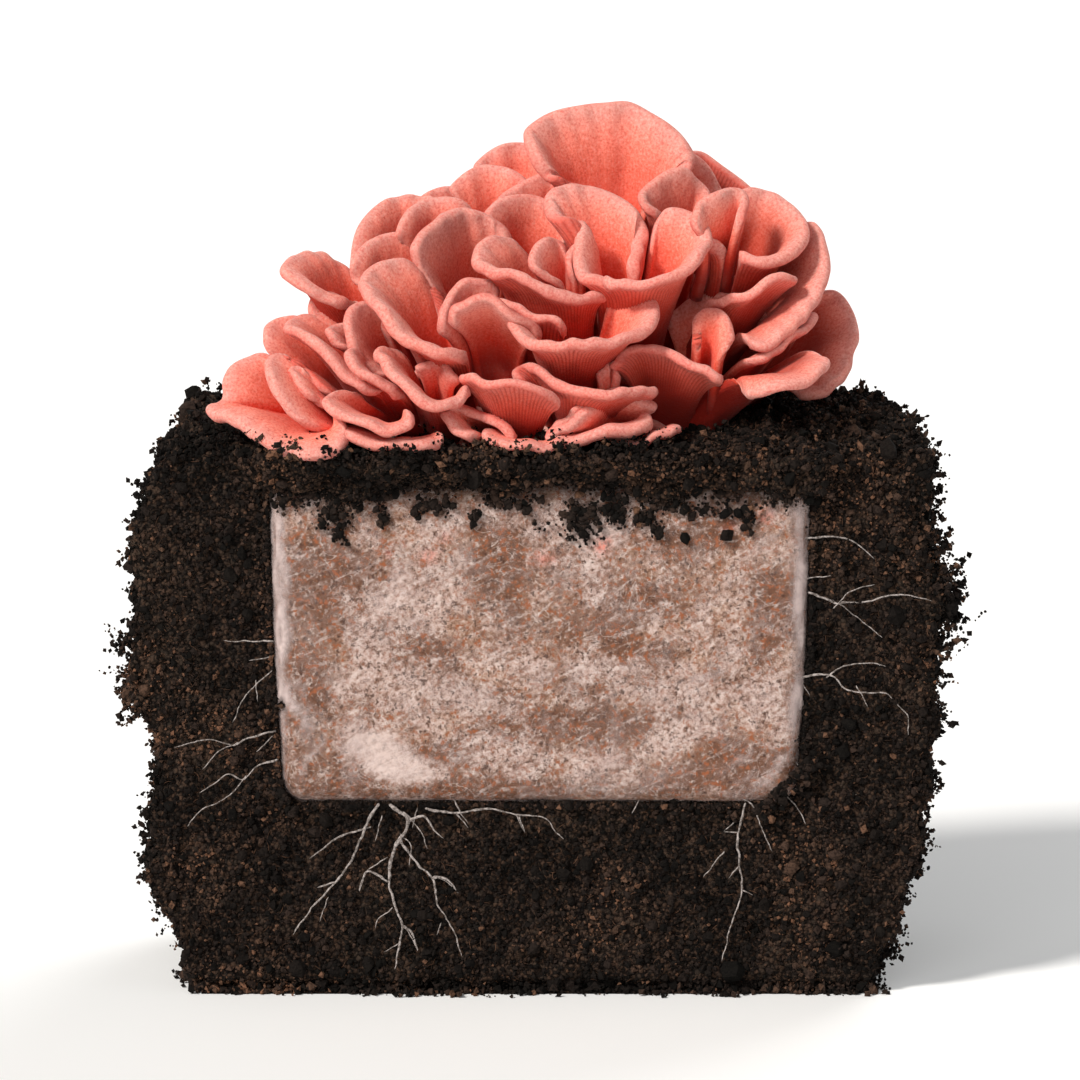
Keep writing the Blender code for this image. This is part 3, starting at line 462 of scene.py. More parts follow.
bump = add(tree, "Bump", {"Strength": 0.4, "Distance": 0.8 * MM, "Height": haze})
wear(shader, Alpha=cover, Normal=bump)
print("film nodes:", len(tree.nodes))

# %% [markdown]
# ### Mycelium strands
# Away from the block the threads twist into strands, greyish white and matt like cotton yarn.

# %% The strands
strand_look, tree, shader = finish("mycelium strand, cottony", Roughness=0.95, IOR=1.35,
                                   Specular_IOR_Level=0.1)
place = add(tree, "TexCoord", output="Object")
cotton = add(tree, "TexNoise", {"Vector": place, "Scale": PER_MM / 1.3, "Detail": 4.0, "Roughness": 0.7})
shade = laid_over(tree, colour("#605853"), [(cotton, 0.40, 0.60, 1.0, "#AFA5A0")])
bump = add(tree, "Bump", {"Strength": 0.8, "Distance": 0.3 * MM, "Height": cotton})
wear(shader, Base_Color=shade, Normal=bump)
print("finishes:", [made.name for made in bpy.data.materials])

# %% [markdown]
# ## The caps, one line of numbers each
# Oyster caps are fans and funnels that crowd each other, no two alike, so each is given by the few points
# that a draughtsman would mark: where its stem leaves the foot, where the stem opens, and the free edge from
# one side to the other. Points are (across, up, depth) in millimetres; nearest caps come first.

# %% The caps that the viewer sees
CAPS = [
    ("cap_left_ear", (-62, 212, -42), (-88, 215, -56),
     [(-71, 215, -86), (-73, 206, -92), (-82, 202, -94), (-92, 204, -92), (-102, 209.5, -86),
      (-111, 215, -78), (-119, 217.5, -72), (-121, 221, -68), (-115, 224, -66), (-114.5, 230, -63),
      (-111, 235, -58), (-104, 238, -54), (-98, 237, -52)]),
    ("cap_left_low_lip", (-48, 208, -50), (-60, 213, -72),
     [(-46, 218, -90), (-49, 213, -94), (-56, 211, -96), (-64, 213, -95), (-71, 217, -92),
      (-78, 221, -86), (-76, 224, -80), (-70, 225, -74)]),
    ("cap_front_cup", (-36, 206, -50), (-40, 222, -70),
     [(-24, 226, -84), (-29, 222.8, -90), (-35, 221, -94), (-41, 222, -95), (-47, 226, -94),
      (-51.5, 231, -90), (-55, 237.5, -84), (-58, 240, -78), (-54, 241, -70)]),
    ("cap_front_tongue", (-14, 204, -56), (-20, 209, -68),
     [(-23, 205.5, -88), (-29, 210, -88), (-33, 216.5, -84), (-28, 218.7, -80), (-21, 217, -80),
      (-14, 212.5, -82), (-8, 207, -84)]),
    ("cap_front_shelf", (-9, 205, -58), (-10, 213, -76),
     [(-29, 231, -76), (-26, 230, -84), (-17, 228.8, -90), (-8, 227.8, -92), (1, 226, -90),
      (9, 222, -84)]),
    ("cap_front_right_shelf", (12, 207, -52), (12, 216, -72),
     [(-9, 229, -80), (-7, 233, -76), (-3, 234.5, -74), (2, 232, -78), (8, 228.5, -83),
      (16, 226, -86), (24, 224.8, -87), (30, 224.8, -85), (40, 227, -78), (44, 226, -72)]),
    ("cap_front_right_tongue", (30, 205, -50), (26, 210, -66),
     [(42, 215.5, -78), (31, 211.5, -84), (20, 208.8, -86), (10, 207, -86), (5, 209, -84),
      (13, 215, -84), (20, 219.5, -80), (27, 222, -74), (36, 221.5, -72), (44, 220, -70)]),
    ("cap_left_strap", (-62, 208, -45), (-76, 214, -68),
     [(-84, 211, -84), (-93, 220, -84), (-98, 229, -80), (-98.5, 236, -74), (-94.5, 238.8, -70),
      (-91, 236, -70), (-87.5, 229, -73), (-80, 220.5, -77)]),
    ("cap_left_long_strap", (-56, 212, -42), (-68, 231, -60),
     [(-60, 222, -78), (-70, 232, -80), (-80, 242, -78), (-89, 247.5, -72), (-91.5, 250, -66),
      (-88, 253, -58), (-81, 253, -52), (-75, 250, -50)]),
    ("cap_left_thin_lip", (-48, 213, -43), (-57, 226, -66),
     [(-50, 222, -80), (-57, 227, -84), (-63, 231.5, -85), (-69, 237.5, -82), (-68, 240, -76),
      (-62, 237, -70)]),
    ("cap_arch", (-14, 212, -48), (-16, 250, -54),
     [(-33, 245, -78), (-31, 250.5, -82), (-25, 253.3, -84), (-18, 253.3, -84), (-12, 250.8, -83),
      (-7, 247, -81), (-2.5, 243, -78), (-0.5, 239, -74)]),
]
print("caps so far:", len(CAPS))

# %% [markdown]
# Funnels and cups fill the middle, and on the right the caps lie low and roll their edges.

# %% The caps in the middle and on the right
CAPS += [
    ("cap_trumpet", (-28, 212, -40), (-36, 238, -62),
     [(-26, 238.5, -84), (-33, 239.5, -87), (-40, 242, -88), (-47, 246.5, -87), (-53, 251, -86),
      (-58, 257, -82), (-61.5, 263, -77), (-61.5, 268, -70), (-57, 272, -64), (-50, 273, -58),
      (-43, 269, -54), (-38, 262, -55), (-34, 252, -58)]),
    ("cap_middle_cup", (14, 214, -40), (15, 236, -66),
     [(29, 261, -58), (34, 262.5, -60), (39, 260, -66), (41, 254, -72), (38, 249, -78),
      (30, 246, -84), (20, 244.3, -88), (10, 243, -90), (0, 244.5, -88), (-7, 249, -82),
      (-10, 253, -74)]),
    ("cap_middle_thin_shelf", (0, 220, -40), (-2, 243, -60),
     [(-17.5, 255, -72), (-14, 257.8, -70), (-8, 256.3, -74), (0, 252.8, -76), (8, 250, -76),
      (11, 247, -70)]),
    ("cap_throat_lip", (-20, 218, -40), (-24, 244, -54),
     [(-34.8, 244.5, -74), (-35, 250.5, -73), (-33, 255.5, -71), (-29.5, 260, -69), (-26, 263.8, -66),
      (-20, 263.5, -64), (-14, 262, -64)]),
    ("cap_right_low_roll", (58, 210, -40), (84, 236, -58),
     [(74, 222, -74), (78, 223.5, -82), (86, 225.5, -86), (94, 228, -84), (101, 231, -78),
      (106, 235, -68), (104, 238.5, -58)]),
    ("cap_right_low_shelf", (46, 210, -40), (46, 228, -60),
     [(25, 234, -72), (29, 238.5, -68), (35, 241, -66), (41, 240.5, -68), (48, 239.5, -70),
      (54, 237.5, -72), (60, 233.5, -74), (66, 230.5, -74), (70, 229, -70)]),
    ("cap_right_bulge", (58, 212, -40), (62, 238, -72),
     [(69.5, 231, -66), (70, 240, -66), (69.5, 250, -62), (66, 255, -58), (61, 255, -56),
      (57.5, 251, -58), (57, 243, -62), (59.5, 233, -66)]),
    ("cap_right_thin_rim", (58, 212, -32), (76, 232, -44),
     [(78, 236, -66), (84, 240.5, -66), (92, 246, -62), (98, 251, -54), (103, 254.5, -44)]),
    ("cap_spoon", (10, 220, -35), (2, 256, -56),
     [(26, 262, -60), (16, 261, -68), (8, 261.5, -72), (0, 264.5, -74), (-8, 268, -74),
      (-15, 270, -72), (-20.5, 273, -70), (-20.5, 278, -66), (-16, 282, -60), (-10.5, 280.5, -54),
      (-6, 275, -50)]),
    ("cap_right_wave", (34, 222, -30), (42, 262, -52),
     [(22, 265.5, -73), (32, 265.5, -76), (42, 267, -77), (51, 270, -74), (57.5, 275, -68),
      (60, 282, -60), (57, 288, -54), (51, 291, -50), (45, 291, -49), (41, 287, -50)]),
    ("cap_centre_funnel", (27, 222, -30), (27, 262, -46),
     [(28, 266.8, -70), (20, 267.5, -68), (16.5, 271, -64), (17, 280, -58), (17, 286, -54),
      (11, 289, -55), (6, 293, -50), (6, 298.5, -44), (13, 301, -39), (22, 300, -38),
      (30, 296.5, -40), (36, 291.5, -44), (39, 285.5, -48), (37.5, 277, -54), (35, 270, -62)]),
]
print("caps so far:", len(CAPS))

# %% [markdown]
# Behind them the caps are larger: the leaves on the left, the big cup and the topmost ones.

# %% The second row and the highest caps
CAPS += [
    ("cap_left_tongue", (-48, 214, -38), (-56, 236, -52),
     [(-54, 228, -72), (-62, 233, -74), (-67, 238.5, -74), (-69.4, 246, -72), (-68.5, 252, -70),
      (-65, 255.5, -66), (-60, 256.5, -62), (-57, 254, -60), (-56, 246, -60)]),
    ("cap_left_leaf", (-60, 214, -35), (-82, 234, -50),
     [(-99, 237, -60), (-101, 243, -60), (-100.5, 248, -57), (-97, 251.3, -53), (-91.5, 251.8, -50),
      (-87, 252.5, -46)]),
    ("cap_left_wall", (-56, 214, -35), (-70, 240, -46),
     [(-80, 247, -56), (-83.8, 254, -54), (-83, 260, -50), (-79, 262, -46), (-73, 259, -42)]),
    ("cap_left_spoon", (-55, 217, -30), (-69, 256, -42),
     [(-68, 255, -56), (-76, 258.5, -62), (-84, 263, -64), (-91, 268, -62), (-93.2, 271, -58),
      (-90, 274.6, -50), (-85, 276.3, -44), (-78, 276, -38), (-71, 271, -34), (-66, 264, -32)]),
    ("cap_big_cup", (-22, 215, -20), (-24, 252, -18),
     [(-34, 256, -50), (-39, 264, -56), (-44.5, 274, -58), (-43, 279, -56), (-38, 284, -50),
      (-30, 290, -40), (-22, 290, -36), (-14, 286, -34), (-9, 280, -38)]),
    ("cap_left_high_lip", (-38, 220, -25), (-52, 262, -32),
     [(-67.5, 262, -50), (-69, 270, -49), (-66, 276, -46), (-61, 280, -42), (-55, 282.3, -38),
      (-48, 283, -35), (-42, 282, -34)]),
    ("cap_left_upper", (-30, 222, -15), (-38, 272, -20),
     [(-54, 281, -40), (-52.5, 284, -40), (-50, 289, -37), (-46, 293.2, -32), (-40, 295.8, -28),
      (-34, 296.2, -26), (-28, 294.5, -26), (-24, 291, -27), (-21, 286, -30)]),
    ("cap_centre_back", (-2, 222, -10), (-3, 272, -10),
     [(-21, 290, -30), (-14, 296, -24), (-6, 297.5, -20), (0, 296.5, -18), (6, 293, -20),
      (10, 287, -24), (12, 281, -28)]),
    ("cap_right_round", (60, 225, -15), (76, 274, -34),
     [(66, 278.5, -52), (62, 282, -50), (59, 287, -46), (61, 292, -40), (67, 296.5, -34),
      (74, 298, -30), (80, 299.8, -28), (87, 298.3, -28), (93, 293.5, -31), (96.8, 288, -36),
      (96.5, 283, -42), (91, 278, -49), (83, 275.3, -54), (74, 276, -55)]),
    ("cap_right_shelf", (56, 222, -25), (70, 252, -40),
     [(60, 257.5, -48), (66, 259, -54), (75, 262.5, -60), (84, 266.5, -60), (91, 269, -56),
      (95, 268, -48)]),
    ("cap_right_rim", (58, 216, -22), (78, 256, -26),
     [(95, 290, -22), (101, 287.5, -26), (103.5, 281, -34), (104.3, 272, -42), (103, 263, -50),
      (97, 255.5, -58), (89, 248, -66), (82, 242.5, -70), (77, 241, -70)]),
    ("cap_right_ear", (62, 214, -16), (92, 238, -12),
     [(104, 264.5, -14), (109, 263.3, -14), (113, 259.5, -17), (116, 253, -22), (117.3, 246, -29),
      (114.5, 241, -35), (113.5, 235, -40), (110, 229.5, -44), (105, 225, -46), (97, 223, -48)]),
    ("cap_right_upper", (40, 225, -12), (52, 282, -20),
     [(45, 290.5, -42), (39, 294, -40), (40, 298, -36), (45, 303, -31), (51, 306.5, -27),
      (56, 306.8, -24), (60, 303, -22), (66, 296, -24)]),
    ("cap_middle_back", (0, 225, 0), (0, 280, -2),
     [(-16, 296, -18), (-10, 300, -14), (-3, 304, -11), (3, 306, -10), (9, 303, -12), (14, 297, -15)]),
    ("cap_top", (24, 225, -2), (28, 290, 0),
     [(22, 300.5, -20), (14, 302, -24), (6, 307, -27), (0, 313, -26), (-2.5, 319, -22),
      (-1, 323, -18), (7, 328, -13), (18, 330.3, -10), (26, 331, -9), (33.5, 331.2, -9),
      (41, 327, -11), (48, 322, -14), (53.5, 315, -18), (53.5, 309, -22), (47, 304.8, -24),
      (42, 299, -22)]),
    ("cap_top_left", (-14, 228, 0), (-18, 285, 0),
     [(-34, 301, -10), (-29, 305.5, -6), (-22, 309.5, -4), (-15, 309, -4), (-9, 306.5, -7),
      (-4.5, 303, -10)]),
    ("cap_top_left_back", (-6, 228, 8), (-8, 292, 14),
     [(-25, 309.5, 2), (-17, 316, 6), (-10.5, 318.3, 8), (-4, 317.5, 7), (1, 313, 3), (2, 308, -2)]),
    ("cap_left_big", (-33, 225, -3), (-49, 268, -5),
     [(-67, 263, -34), (-70, 268, -32), (-69.5, 276, -28), (-67, 285, -22), (-62, 292, -16),
      (-56, 297, -11), (-50, 298.7, -8), (-44, 298.3, -7), (-37, 296.5, -8), (-31, 293, -10)]),
    ("cap_left_high_back", (-24, 228, 8), (-32, 282, 10),
     [(-45, 298, 0), (-40, 300.8, 3), (-34, 302, 5), (-28, 301, 5), (-22, 297, 2)]),
    ("cap_right_back_inner", (40, 228, 4), (52, 284, 6),
     [(50, 314, 0), (58, 314, 2), (64, 309, 2), (67.5, 302, 0), (68.5, 296, -4)]),
    ("cap_right_back", (42, 228, 14), (58, 285, 20),
     [(52, 317, 12), (60, 316.3, 16), (68, 312.5, 18), (76, 306.5, 17), (84, 299.5, 13),
      (90, 292, 8)]),
]
print("caps in front:", len(CAPS))

# %% [markdown]
# Small young lobes fill the gaps between the big caps. They are thinner than a tool could cut.

# %% Young lobes between the caps
YOUNG_LOBES = [
    ("lobe_left_finger", (-64, 212, -48), (-76, 219, -68),
     [(-84, 222, -78), (-89, 228, -76), (-91, 232, -73), (-88.5, 233.8, -71), (-84, 231.5, -71),
      (-79, 224.5, -74)]),
    ("lobe_left_nib", (-52, 214, -40), (-66, 238, -56),
     [(-70, 240, -70), (-75, 244, -70), (-77.5, 247, -67), (-74, 249, -63), (-69, 250, -60)]),
    ("lobe_inner", (10, 235, -40), (9, 262, -50),
     [(8, 264, -64), (1, 268, -66), (-1, 273, -64), (0, 278, -60), (4, 280.5, -56), (8, 279.5, -54),
      (11.5, 276, -54)]),
    ("lobe_inner_second", (12, 235, -40), (13, 258, -50),
     [(12, 266, -62), (12, 274, -60), (14, 277.5, -56), (16.5, 272, -58), (17, 266, -60)]),
    ("lobe_in_front_cup", (-34, 210, -48), (-38, 222, -64),
     [(-31, 227, -80), (-35, 232, -78), (-40, 233.8, -76), (-44.5, 231, -78)]),
    ("lobe_low_leaf", (20, 206, -55), (14, 208, -66),
     [(2.5, 209.5, -80), (7, 213.5, -82), (13, 218.3, -80), (18, 220.5, -74)]),
    ("lobe_small_leaf", (24, 206, -50), (26, 218, -62),
     [(22, 227.9, -72), (25.7, 234, -70), (29.3, 227.9, -72)]),
    ("lobe_foot_left", (-42, 203, -58), (-50, 206, -70),
     [(-34, 207, -86), (-42, 205, -92), (-52, 205, -93), (-62, 207, -91), (-70, 209, -88), (-74, 212, -80)]),
    ("lobe_foot_middle", (4, 202, -58), (-4, 205, -70),
     [(10, 206, -84), (3, 204.5, -90), (-8, 205, -91), (-16, 207, -89), (-22, 210, -82)]),
    ("lobe_foot_right", (34, 203, -50), (38, 206, -62),
     [(52, 213, -72), (46, 209.5, -78), (38, 207, -80), (29, 206.5, -78), (24, 208, -74)]),
    ("lobe_right_curl", (64, 262, -34), (67, 277, -46),
     [(58.5, 284, -62), (59.5, 290, -60), (64, 295.5, -55), (70, 298, -50), (75.5, 297.5, -48),
      (77, 293, -51), (75, 287, -56)]),
    ("lobe_right_fill_low", (62, 210, -22), (66, 232, -30),
     [(46, 250, -34), (56, 258, -36), (66, 260, -38), (76, 258, -38), (84, 252, -38), (88, 244, -36)]),
    ("lobe_right_fill_back", (70, 212, -14), (80, 236, -20),
     [(60, 262, -24), (72, 268, -26), (84, 266, -26), (94, 260, -24), (100, 250, -22)]),
]
print("young lobes in front:", len(YOUNG_LOBES))

# %% [markdown]
# A cluster like this grows all round. On the far side the caps follow a rule: a wavy arc round a bearing
# (90 degrees is straight back), with its own reach, height, width and droop.

# %% The caps on the far side
FAR_CAPS = [
    ("cap_far_right", 28, 88, 262, 66, 0.30),
    ("cap_far_right_high", 52, 66, 290, 60, 0.20),
    ("cap_far_right_low", 58, 80, 236, 60, 0.45),
    ("cap_far_middle_high", 80, 58, 290, 60, 0.15),
    ("cap_far_middle", 88, 78, 262, 70, 0.30),
    ("cap_far_middle_low", 96, 84, 226, 64, 0.45),
    ("cap_far_left_high", 116, 62, 266, 60, 0.20),
    ("cap_far_left", 128, 84, 246, 66, 0.35),
]
FAR_FOOT_UP = 212  # how high their stems leave the foot


def far_cap(bearing, reach, height, width, droop):
    """Foot, throat and rim of a cap on the far side: a wavy arc round the bearing."""
    angle = math.radians(bearing)
    out = np.array([math.cos(angle), math.sin(angle), 0])
    side = np.array([-out[1], out[0], 0])
    centre = np.array([BASE_CENTRE[0], BASE_CENTRE[1] + 6, 0])
    turn = np.linspace(-1.25, 1.25, 9)
    wave = np.sin(3.1 * turn + 0.05 * bearing)
    rim = (centre + out * (reach * (0.45 + 0.55 * np.cos(turn)) + 3 * wave)[:, None]
           + side * (0.5 * width * np.sin(turn) * 1.15)[:, None])
    rim[:, 2] = height - droop * 18 * np.cos(turn) + 2.5 * wave + 6
    foot = centre + out * (0.8 * reach - 36) + np.array([0, 0, FAR_FOOT_UP])
    throat = centre + out * (0.42 * reach) + np.array([0, 0, 0.45 * FAR_FOOT_UP + 0.55 * height - 6])
    return foot, throat, rim


print("caps behind:", len(FAR_CAPS))

# %% [markdown]
# Small young lobes stand all round the far side of the foot, in two tiers, and hide where it meets the soil.
# They follow the same rule; their reach is that of an ellipse about as wide as the foot.

# %% Young lobes round the far side of the foot
FAR_LOBES = []
for count, wide, deep, height, width in ((17, 80, 53, 209, 33), (13, 72, 47, 224, 36)):
    for k, bearing in enumerate(np.linspace(-28, 208, count)):
        turn = math.radians(bearing)
        reach = 1 / math.hypot(math.cos(turn) / wide, math.sin(turn) / deep)
        FAR_LOBES.append((bearing + 4 * math.sin(3.3 * k), reach + 4 * math.sin(2.3 * k),
                          height + 5 * math.sin(1.7 * k), width + 7 * math.sin(1.3 * k),
                          0.3 + 0.2 * math.sin(2.9 * k)))
print("young lobes behind:", len(FAR_LOBES))

# %% [markdown]
# ## From a few points to a cap
# A smooth line through the rim's points gives the free edge. From every spot of the foot a curve runs out
# over the throat to the spot of the rim that belongs to it: that is a quadratic curve, the simplest one that
# can open like a funnel.

# %% Smooth lines and directions
STRAIGHT_RIM = 0.22  # a rim no wider than this share of its length counts as straight


def smooth_line(points, t):
    """A Catmull-Rom curve through the points, read at t in 0..1 by arc length."""
    p = np.vstack([2 * points[0] - points[1], points, 2 * points[-1] - points[-2]])
    spans = len(points) - 1
    s = np.linspace(0, spans, 24 * spans + 1)
    i = np.minimum(s.astype(int), spans - 1)
    f = (s - i)[:, None]
    a, b, c, d = p[i], p[i + 1], p[i + 2], p[i + 3]
    line = 0.5 * (2 * b + (c - a) * f + (2 * a - 5 * b + 4 * c - d) * f ** 2
                  + (3 * b - a - 3 * c + d) * f ** 3)
    run = np.append(0, np.cumsum(np.linalg.norm(np.diff(line, axis=0), axis=1)))
    return np.column_stack([np.interp(t * run[-1], run, line[:, k]) for k in range(line.shape[1])])


def turned(vectors, a, b):
    """The vectors under the smallest turn that takes direction a to direction b."""
    k = np.cross(a, b)
    return vectors + np.cross(k, vectors) + np.cross(k, np.cross(k, vectors)) / (1 + a @ b)


def facing(foot, throat, rim):
    """The direction that the hollow faces: the normal of the rim's plane, or of the sheet where the rim
    is nearly straight, on the side away from the foot."""
    centre = rim.mean(0)
    _, size, axes = np.linalg.svd(rim - centre)
    normal = axes[2]
    if size[1] < STRAIGHT_RIM * size[0]:
        normal = unit(np.cross(axes[0], centre - throat))
    return normal * np.sign(normal @ (centre - 0.5 * foot - 0.5 * throat))


def rim_length(rim):
    """The length of the line from point to point of the rim."""
    return np.linalg.norm(np.diff(rim, axis=0), axis=1).sum()


print("longest rim:", round(max(rim_length(np.array(rim, float)) for *_, rim in CAPS)), "mm")

# %% [markdown]
# Near the rim the sheet bends away from its hollow, as a real cap's edge rolls; a big cap rolls more. The
# caps on the upper left are hardly hollow, so their throats move part of the way to the rim.

# %% The middle sheet of a cap
STEM_WIDE, THROAT_SPREAD = 12.0, 0.42
FLATTER = {"cap_left_big": 0.85, "cap_left_upper": 0.8, "cap_left_high_lip": 0.8, "cap_left_high_back": 0.6,
           "cap_top_left": 0.6, "cap_top_left_back": 0.5, "cap_centre_back": 0.6, "cap_middle_back": 0.5,
           "cap_left_spoon": 0.6, "cap_left_wall": 0.5, "cap_left_ear": 0.4, "cap_big_cup": 0.3,
           "cap_top": 0.2, "cap_right_bulge": 0.4}


def rim_roll(length):
    """How far the edge of a rim of that length bends back."""
    return min(5.5, 1.5 + 0.03 * length)


def cap_sheet(foot, throat, rim, u, v):
    """A quadratic from the foot over the throat to the rim for every u along the rim. The foot and the
    throat are the rim made smaller and turned square to the stem."""
    edge = smooth_line(rim, u)
    spread = edge - rim.mean(0)
    normal = facing(foot, throat, rim)
    axis = unit(throat - foot)
    narrow = 0.5 * STEM_WIDE / np.linalg.norm(rim - rim.mean(0), axis=1).mean()
    start = foot + narrow * turned(spread, normal, axis)
    middle = throat + THROAT_SPREAD * turned(spread, normal, unit(normal + axis))
    w = v[:, None]
    sheet = (1 - w) ** 2 * start + 2 * w * (1 - w) * middle + w ** 2 * edge
    outward = edge - middle
    across = normal - outward * (outward @ normal / (outward ** 2).sum(1))[:, None]
    across /= np.linalg.norm(across, axis=1)[:, None]
    roll = np.clip((v - 0.7) / 0.3, 0, 1) ** 2
    return sheet - rim_roll(rim_length(rim)) * roll[:, None] * across


print("a rim of 50 mm rolls back by", rim_roll(50), "mm")

# %% [markdown]
# The sheet sways in a few flutes that grow towards the rim, and its last millimetres are crinkled. Its rows
# stop short of the rim by the radius of the lip, and earlier still at the two ends of the rim, where the
# fan's corners are rounded off.

# %% Flutes, crinkles and round corners
def lip_radius(length):
    """Radius of the rim's half round: a long rim is a fatter one."""
    return min(2.65, 1.35 + 0.011 * length)


def swaying_sheet(foot, throat, rim, seed, u, rows):
    """Rows run from the foot, w = 0, to the start of the lip, w = 1, and columns along the rim. Returns w,
    the points, their normals on the hollow's side, and the line that the lip's tip will follow."""
    def sheet(v):
        flat = cap_sheet(foot, throat, rim, np.broadcast_to(u, v.shape).ravel(), v.ravel())
        return flat.reshape(*v.shape, 3)

    length = rim_length(rim)
    last = sheet(np.array([[0.97], [1.0]]) * np.ones(len(u)))
    speed = np.maximum(np.linalg.norm(last[1] - last[0], axis=1) / 0.03, 1e-6)
    corner = min(7.0, 0.10 * length)
    inward = 1 - np.clip(length * np.minimum(u, 1 - u) / corner, 0, 1)
    far = 1 - np.minimum(corner * (1 - np.sqrt(1 - inward ** 2)) / speed, 0.25)
    stop = far - np.clip(lip_radius(length) / speed, 0.01, 0.20)
    w = (1 - (1 - np.linspace(0, 1, rows)) ** 1.25)[:, None]
    middle = sheet(w * stop)
    normal = unit(np.cross(np.gradient(middle, axis=1), np.gradient(middle, axis=0)))
    if (normal[rows // 2:] @ facing(foot, throat, rim)).mean() < 0:
        normal = -normal
    folds = max(2, round(length / 34))
    phase = np.random.default_rng(seed).uniform(0, 2 * math.pi, 3)
    flute = 0.7 * np.sin(2 * math.pi * folds * u + phase[0]) + 0.2 * np.sin(
        2 * math.pi * (1.7 * folds) * u + phase[1])
    crinkle = 0.40 * np.sin(length * u / 1.9 + phase[2] + 2.5 * np.sin(length * u / 9))
    swing = flute * w ** 1.5 + 0.7 * noise(middle, 22, seed) * w + crinkle * w ** 6
    tip = sheet(far[None, :])[0] + normal[-1] * swing[-1][:, None]
    return w, middle + normal * swing[..., None], normal, tip


print("radius of the lip on a rim of 50 mm:", round(lip_radius(50), 2), "mm")

# %% [markdown]
# Flesh goes on both sides of the sheet. It is thinnest halfway out and swells to a fat lip, which ends in a
# half circle. The upper side is smooth. The underside carries the gills: ridges that run from the lip down
# the stem, because an oyster's gills are decurrent. Every gill gets two columns of points, a ridge and a
# valley, and its height varies.

# %% The whole cap as one closed surface
GILL_PITCH, GILL_DEPTH = 1.7, 0.42  # spacing of the gills at the rim, and how high they stand
ROWS, LOBE_ROWS = (22, 8), (11, 5)  # rows on each side, and round the lip; a young lobe has fewer


def cap_surface(foot, throat, rim, seed, rows_wanted):
    """Rows run from the foot up the hollow, round the lip and back down the underside; columns run along
    the rim. Returns the points, and the values u, w and ridge that they were made from."""
    side_rows, lip_rows = rows_wanted
    gills = max(12, round(rim_length(rim) / GILL_PITCH))
    u = np.linspace(0, 1, 2 * gills + 1)
    w, middle, normal, tip = swaying_sheet(foot, throat, rim, seed, u, side_rows)

    lip_round = lip_radius(rim_length(rim))
    along = np.linalg.norm(np.diff(middle, axis=1, prepend=middle[:, :1]), axis=2).cumsum(1)
    side = np.minimum(along, along[:, -1:] - along)
    round_side = np.sqrt(1 - (1 - np.clip(side / lip_round, 0, 1)) ** 2)
    half = 1.5 + 0.9 * (1 - w) ** 2 + (lip_round - 1.5) * step(0.66, 1.0, w)
    half = half + (0.30 * noise(middle, 3.2, seed + 9) + 0.25 * noise(middle, 9, seed + 10)) * w ** 3
    half = half * round_side
    ridge = 0.5 + 0.5 * np.cos(2 * math.pi * gills * u)
    gill = GILL_DEPTH * step(0.10, 0.35, w) * step(1.0, 0.90, w) * round_side
    gill = gill * np.clip(0.75 + 0.9 * noise(middle, 4, seed + 5), 0.1, 1.5)
    top = middle + normal * (half + 0.18 * noise(middle, 5, seed + 1) * round_side)[..., None]
    below = middle - normal * (half - gill * (1 - 1.6 * ridge))[..., None]

    way = unit(tip - middle[-1])
    up = unit(normal[-1] - way * (normal[-1] * way).sum(1, keepdims=True))
    turn = (math.pi * np.arange(1, lip_rows + 1) / (lip_rows + 1))[:, None, None]
    reach = np.linalg.norm(tip - middle[-1], axis=1)[None, :, None]
    lip = middle[-1] + way * reach * np.sin(turn) + up * half[-1][:, None] * np.cos(turn)
    points = np.concatenate([top, lip, below[::-1]])
    points[:, [0, -1]] = 0.5 * (points + points[::-1])[:, [0, -1]]  # the two sides are closed
    return points, u, w, ridge


print("gills under a rim of 100 mm:", round(100 / GILL_PITCH))

# %% [markdown]
# The finish reads five values at every point: how far out it is, whether it is on the underside, whether on a
# gill's ridge, how much painted shade it gets for lying on the right, away from the light, and its place
# along the rim and out from the foot in millimetres, with a third number of the cap's own, so that no two
# caps share a pattern.

# %% The cap as a piece
low_flesh = []  # where the caps come down to the soil, for the crumbs that cling there
LOW = 214.0


def cap_values(points, u, w, ridge, length, seed):
    """The five values, row by row as the points: up the hollow, round the lip and down the underside."""
    lip_rows = len(points) - 2 * len(w)
    full, flat = np.ones((lip_rows, len(u))), np.ones(len(u))
    bend = (np.arange(lip_rows) / (lip_rows - 1))[:, None] * full
    run_out = np.linalg.norm(np.diff(points, axis=0, prepend=points[:1]), axis=2).cumsum(0)
    return {
        "outness": np.concatenate([w * flat, full, w[::-1] * flat]),
        "underside": np.concatenate([0 * w * flat, bend ** 2, (0 * w + 1) * flat]),
        "ridge": np.concatenate([0.5 + 0 * w * u, full * 0.5, np.broadcast_to(ridge, (len(w), len(u)))]),
        # painted shade: rises from 55 to 108 mm to the right, where the light from the left does not reach
        "painted_right_shade": step(55, 108, points[..., 0]),
        "spread": np.stack([length * u + 0 * run_out, run_out, 37.0 * seed + 0 * run_out], axis=-1)}


def make_cap(name, foot, throat, rim, seed, flatter=0.0, rows_wanted=ROWS):
    """A cap with its throat moved that share of the way to the middle of the rim."""
    throat = throat + flatter * (rim.mean(0) - throat)
    points, u, w, ridge = cap_surface(foot, throat, rim, seed, rows_wanted)
    low_flesh.append(points[points[..., 2] < LOW])
    values = cap_values(points, u, w, ridge, rim_length(rim), seed)
    return piece(name, points.reshape(-1, 3), grid_triangles(*points.shape[:2], wrap_rows=True), felted_flesh,
                 "oyster_flesh", attributes={key: value.reshape(-1, *value.shape[2:])
                                             for key, value in values.items()})


print("corners of a cap with 60 gills:", (2 * ROWS[0] + ROWS[1]) * (2 * 60 + 1))

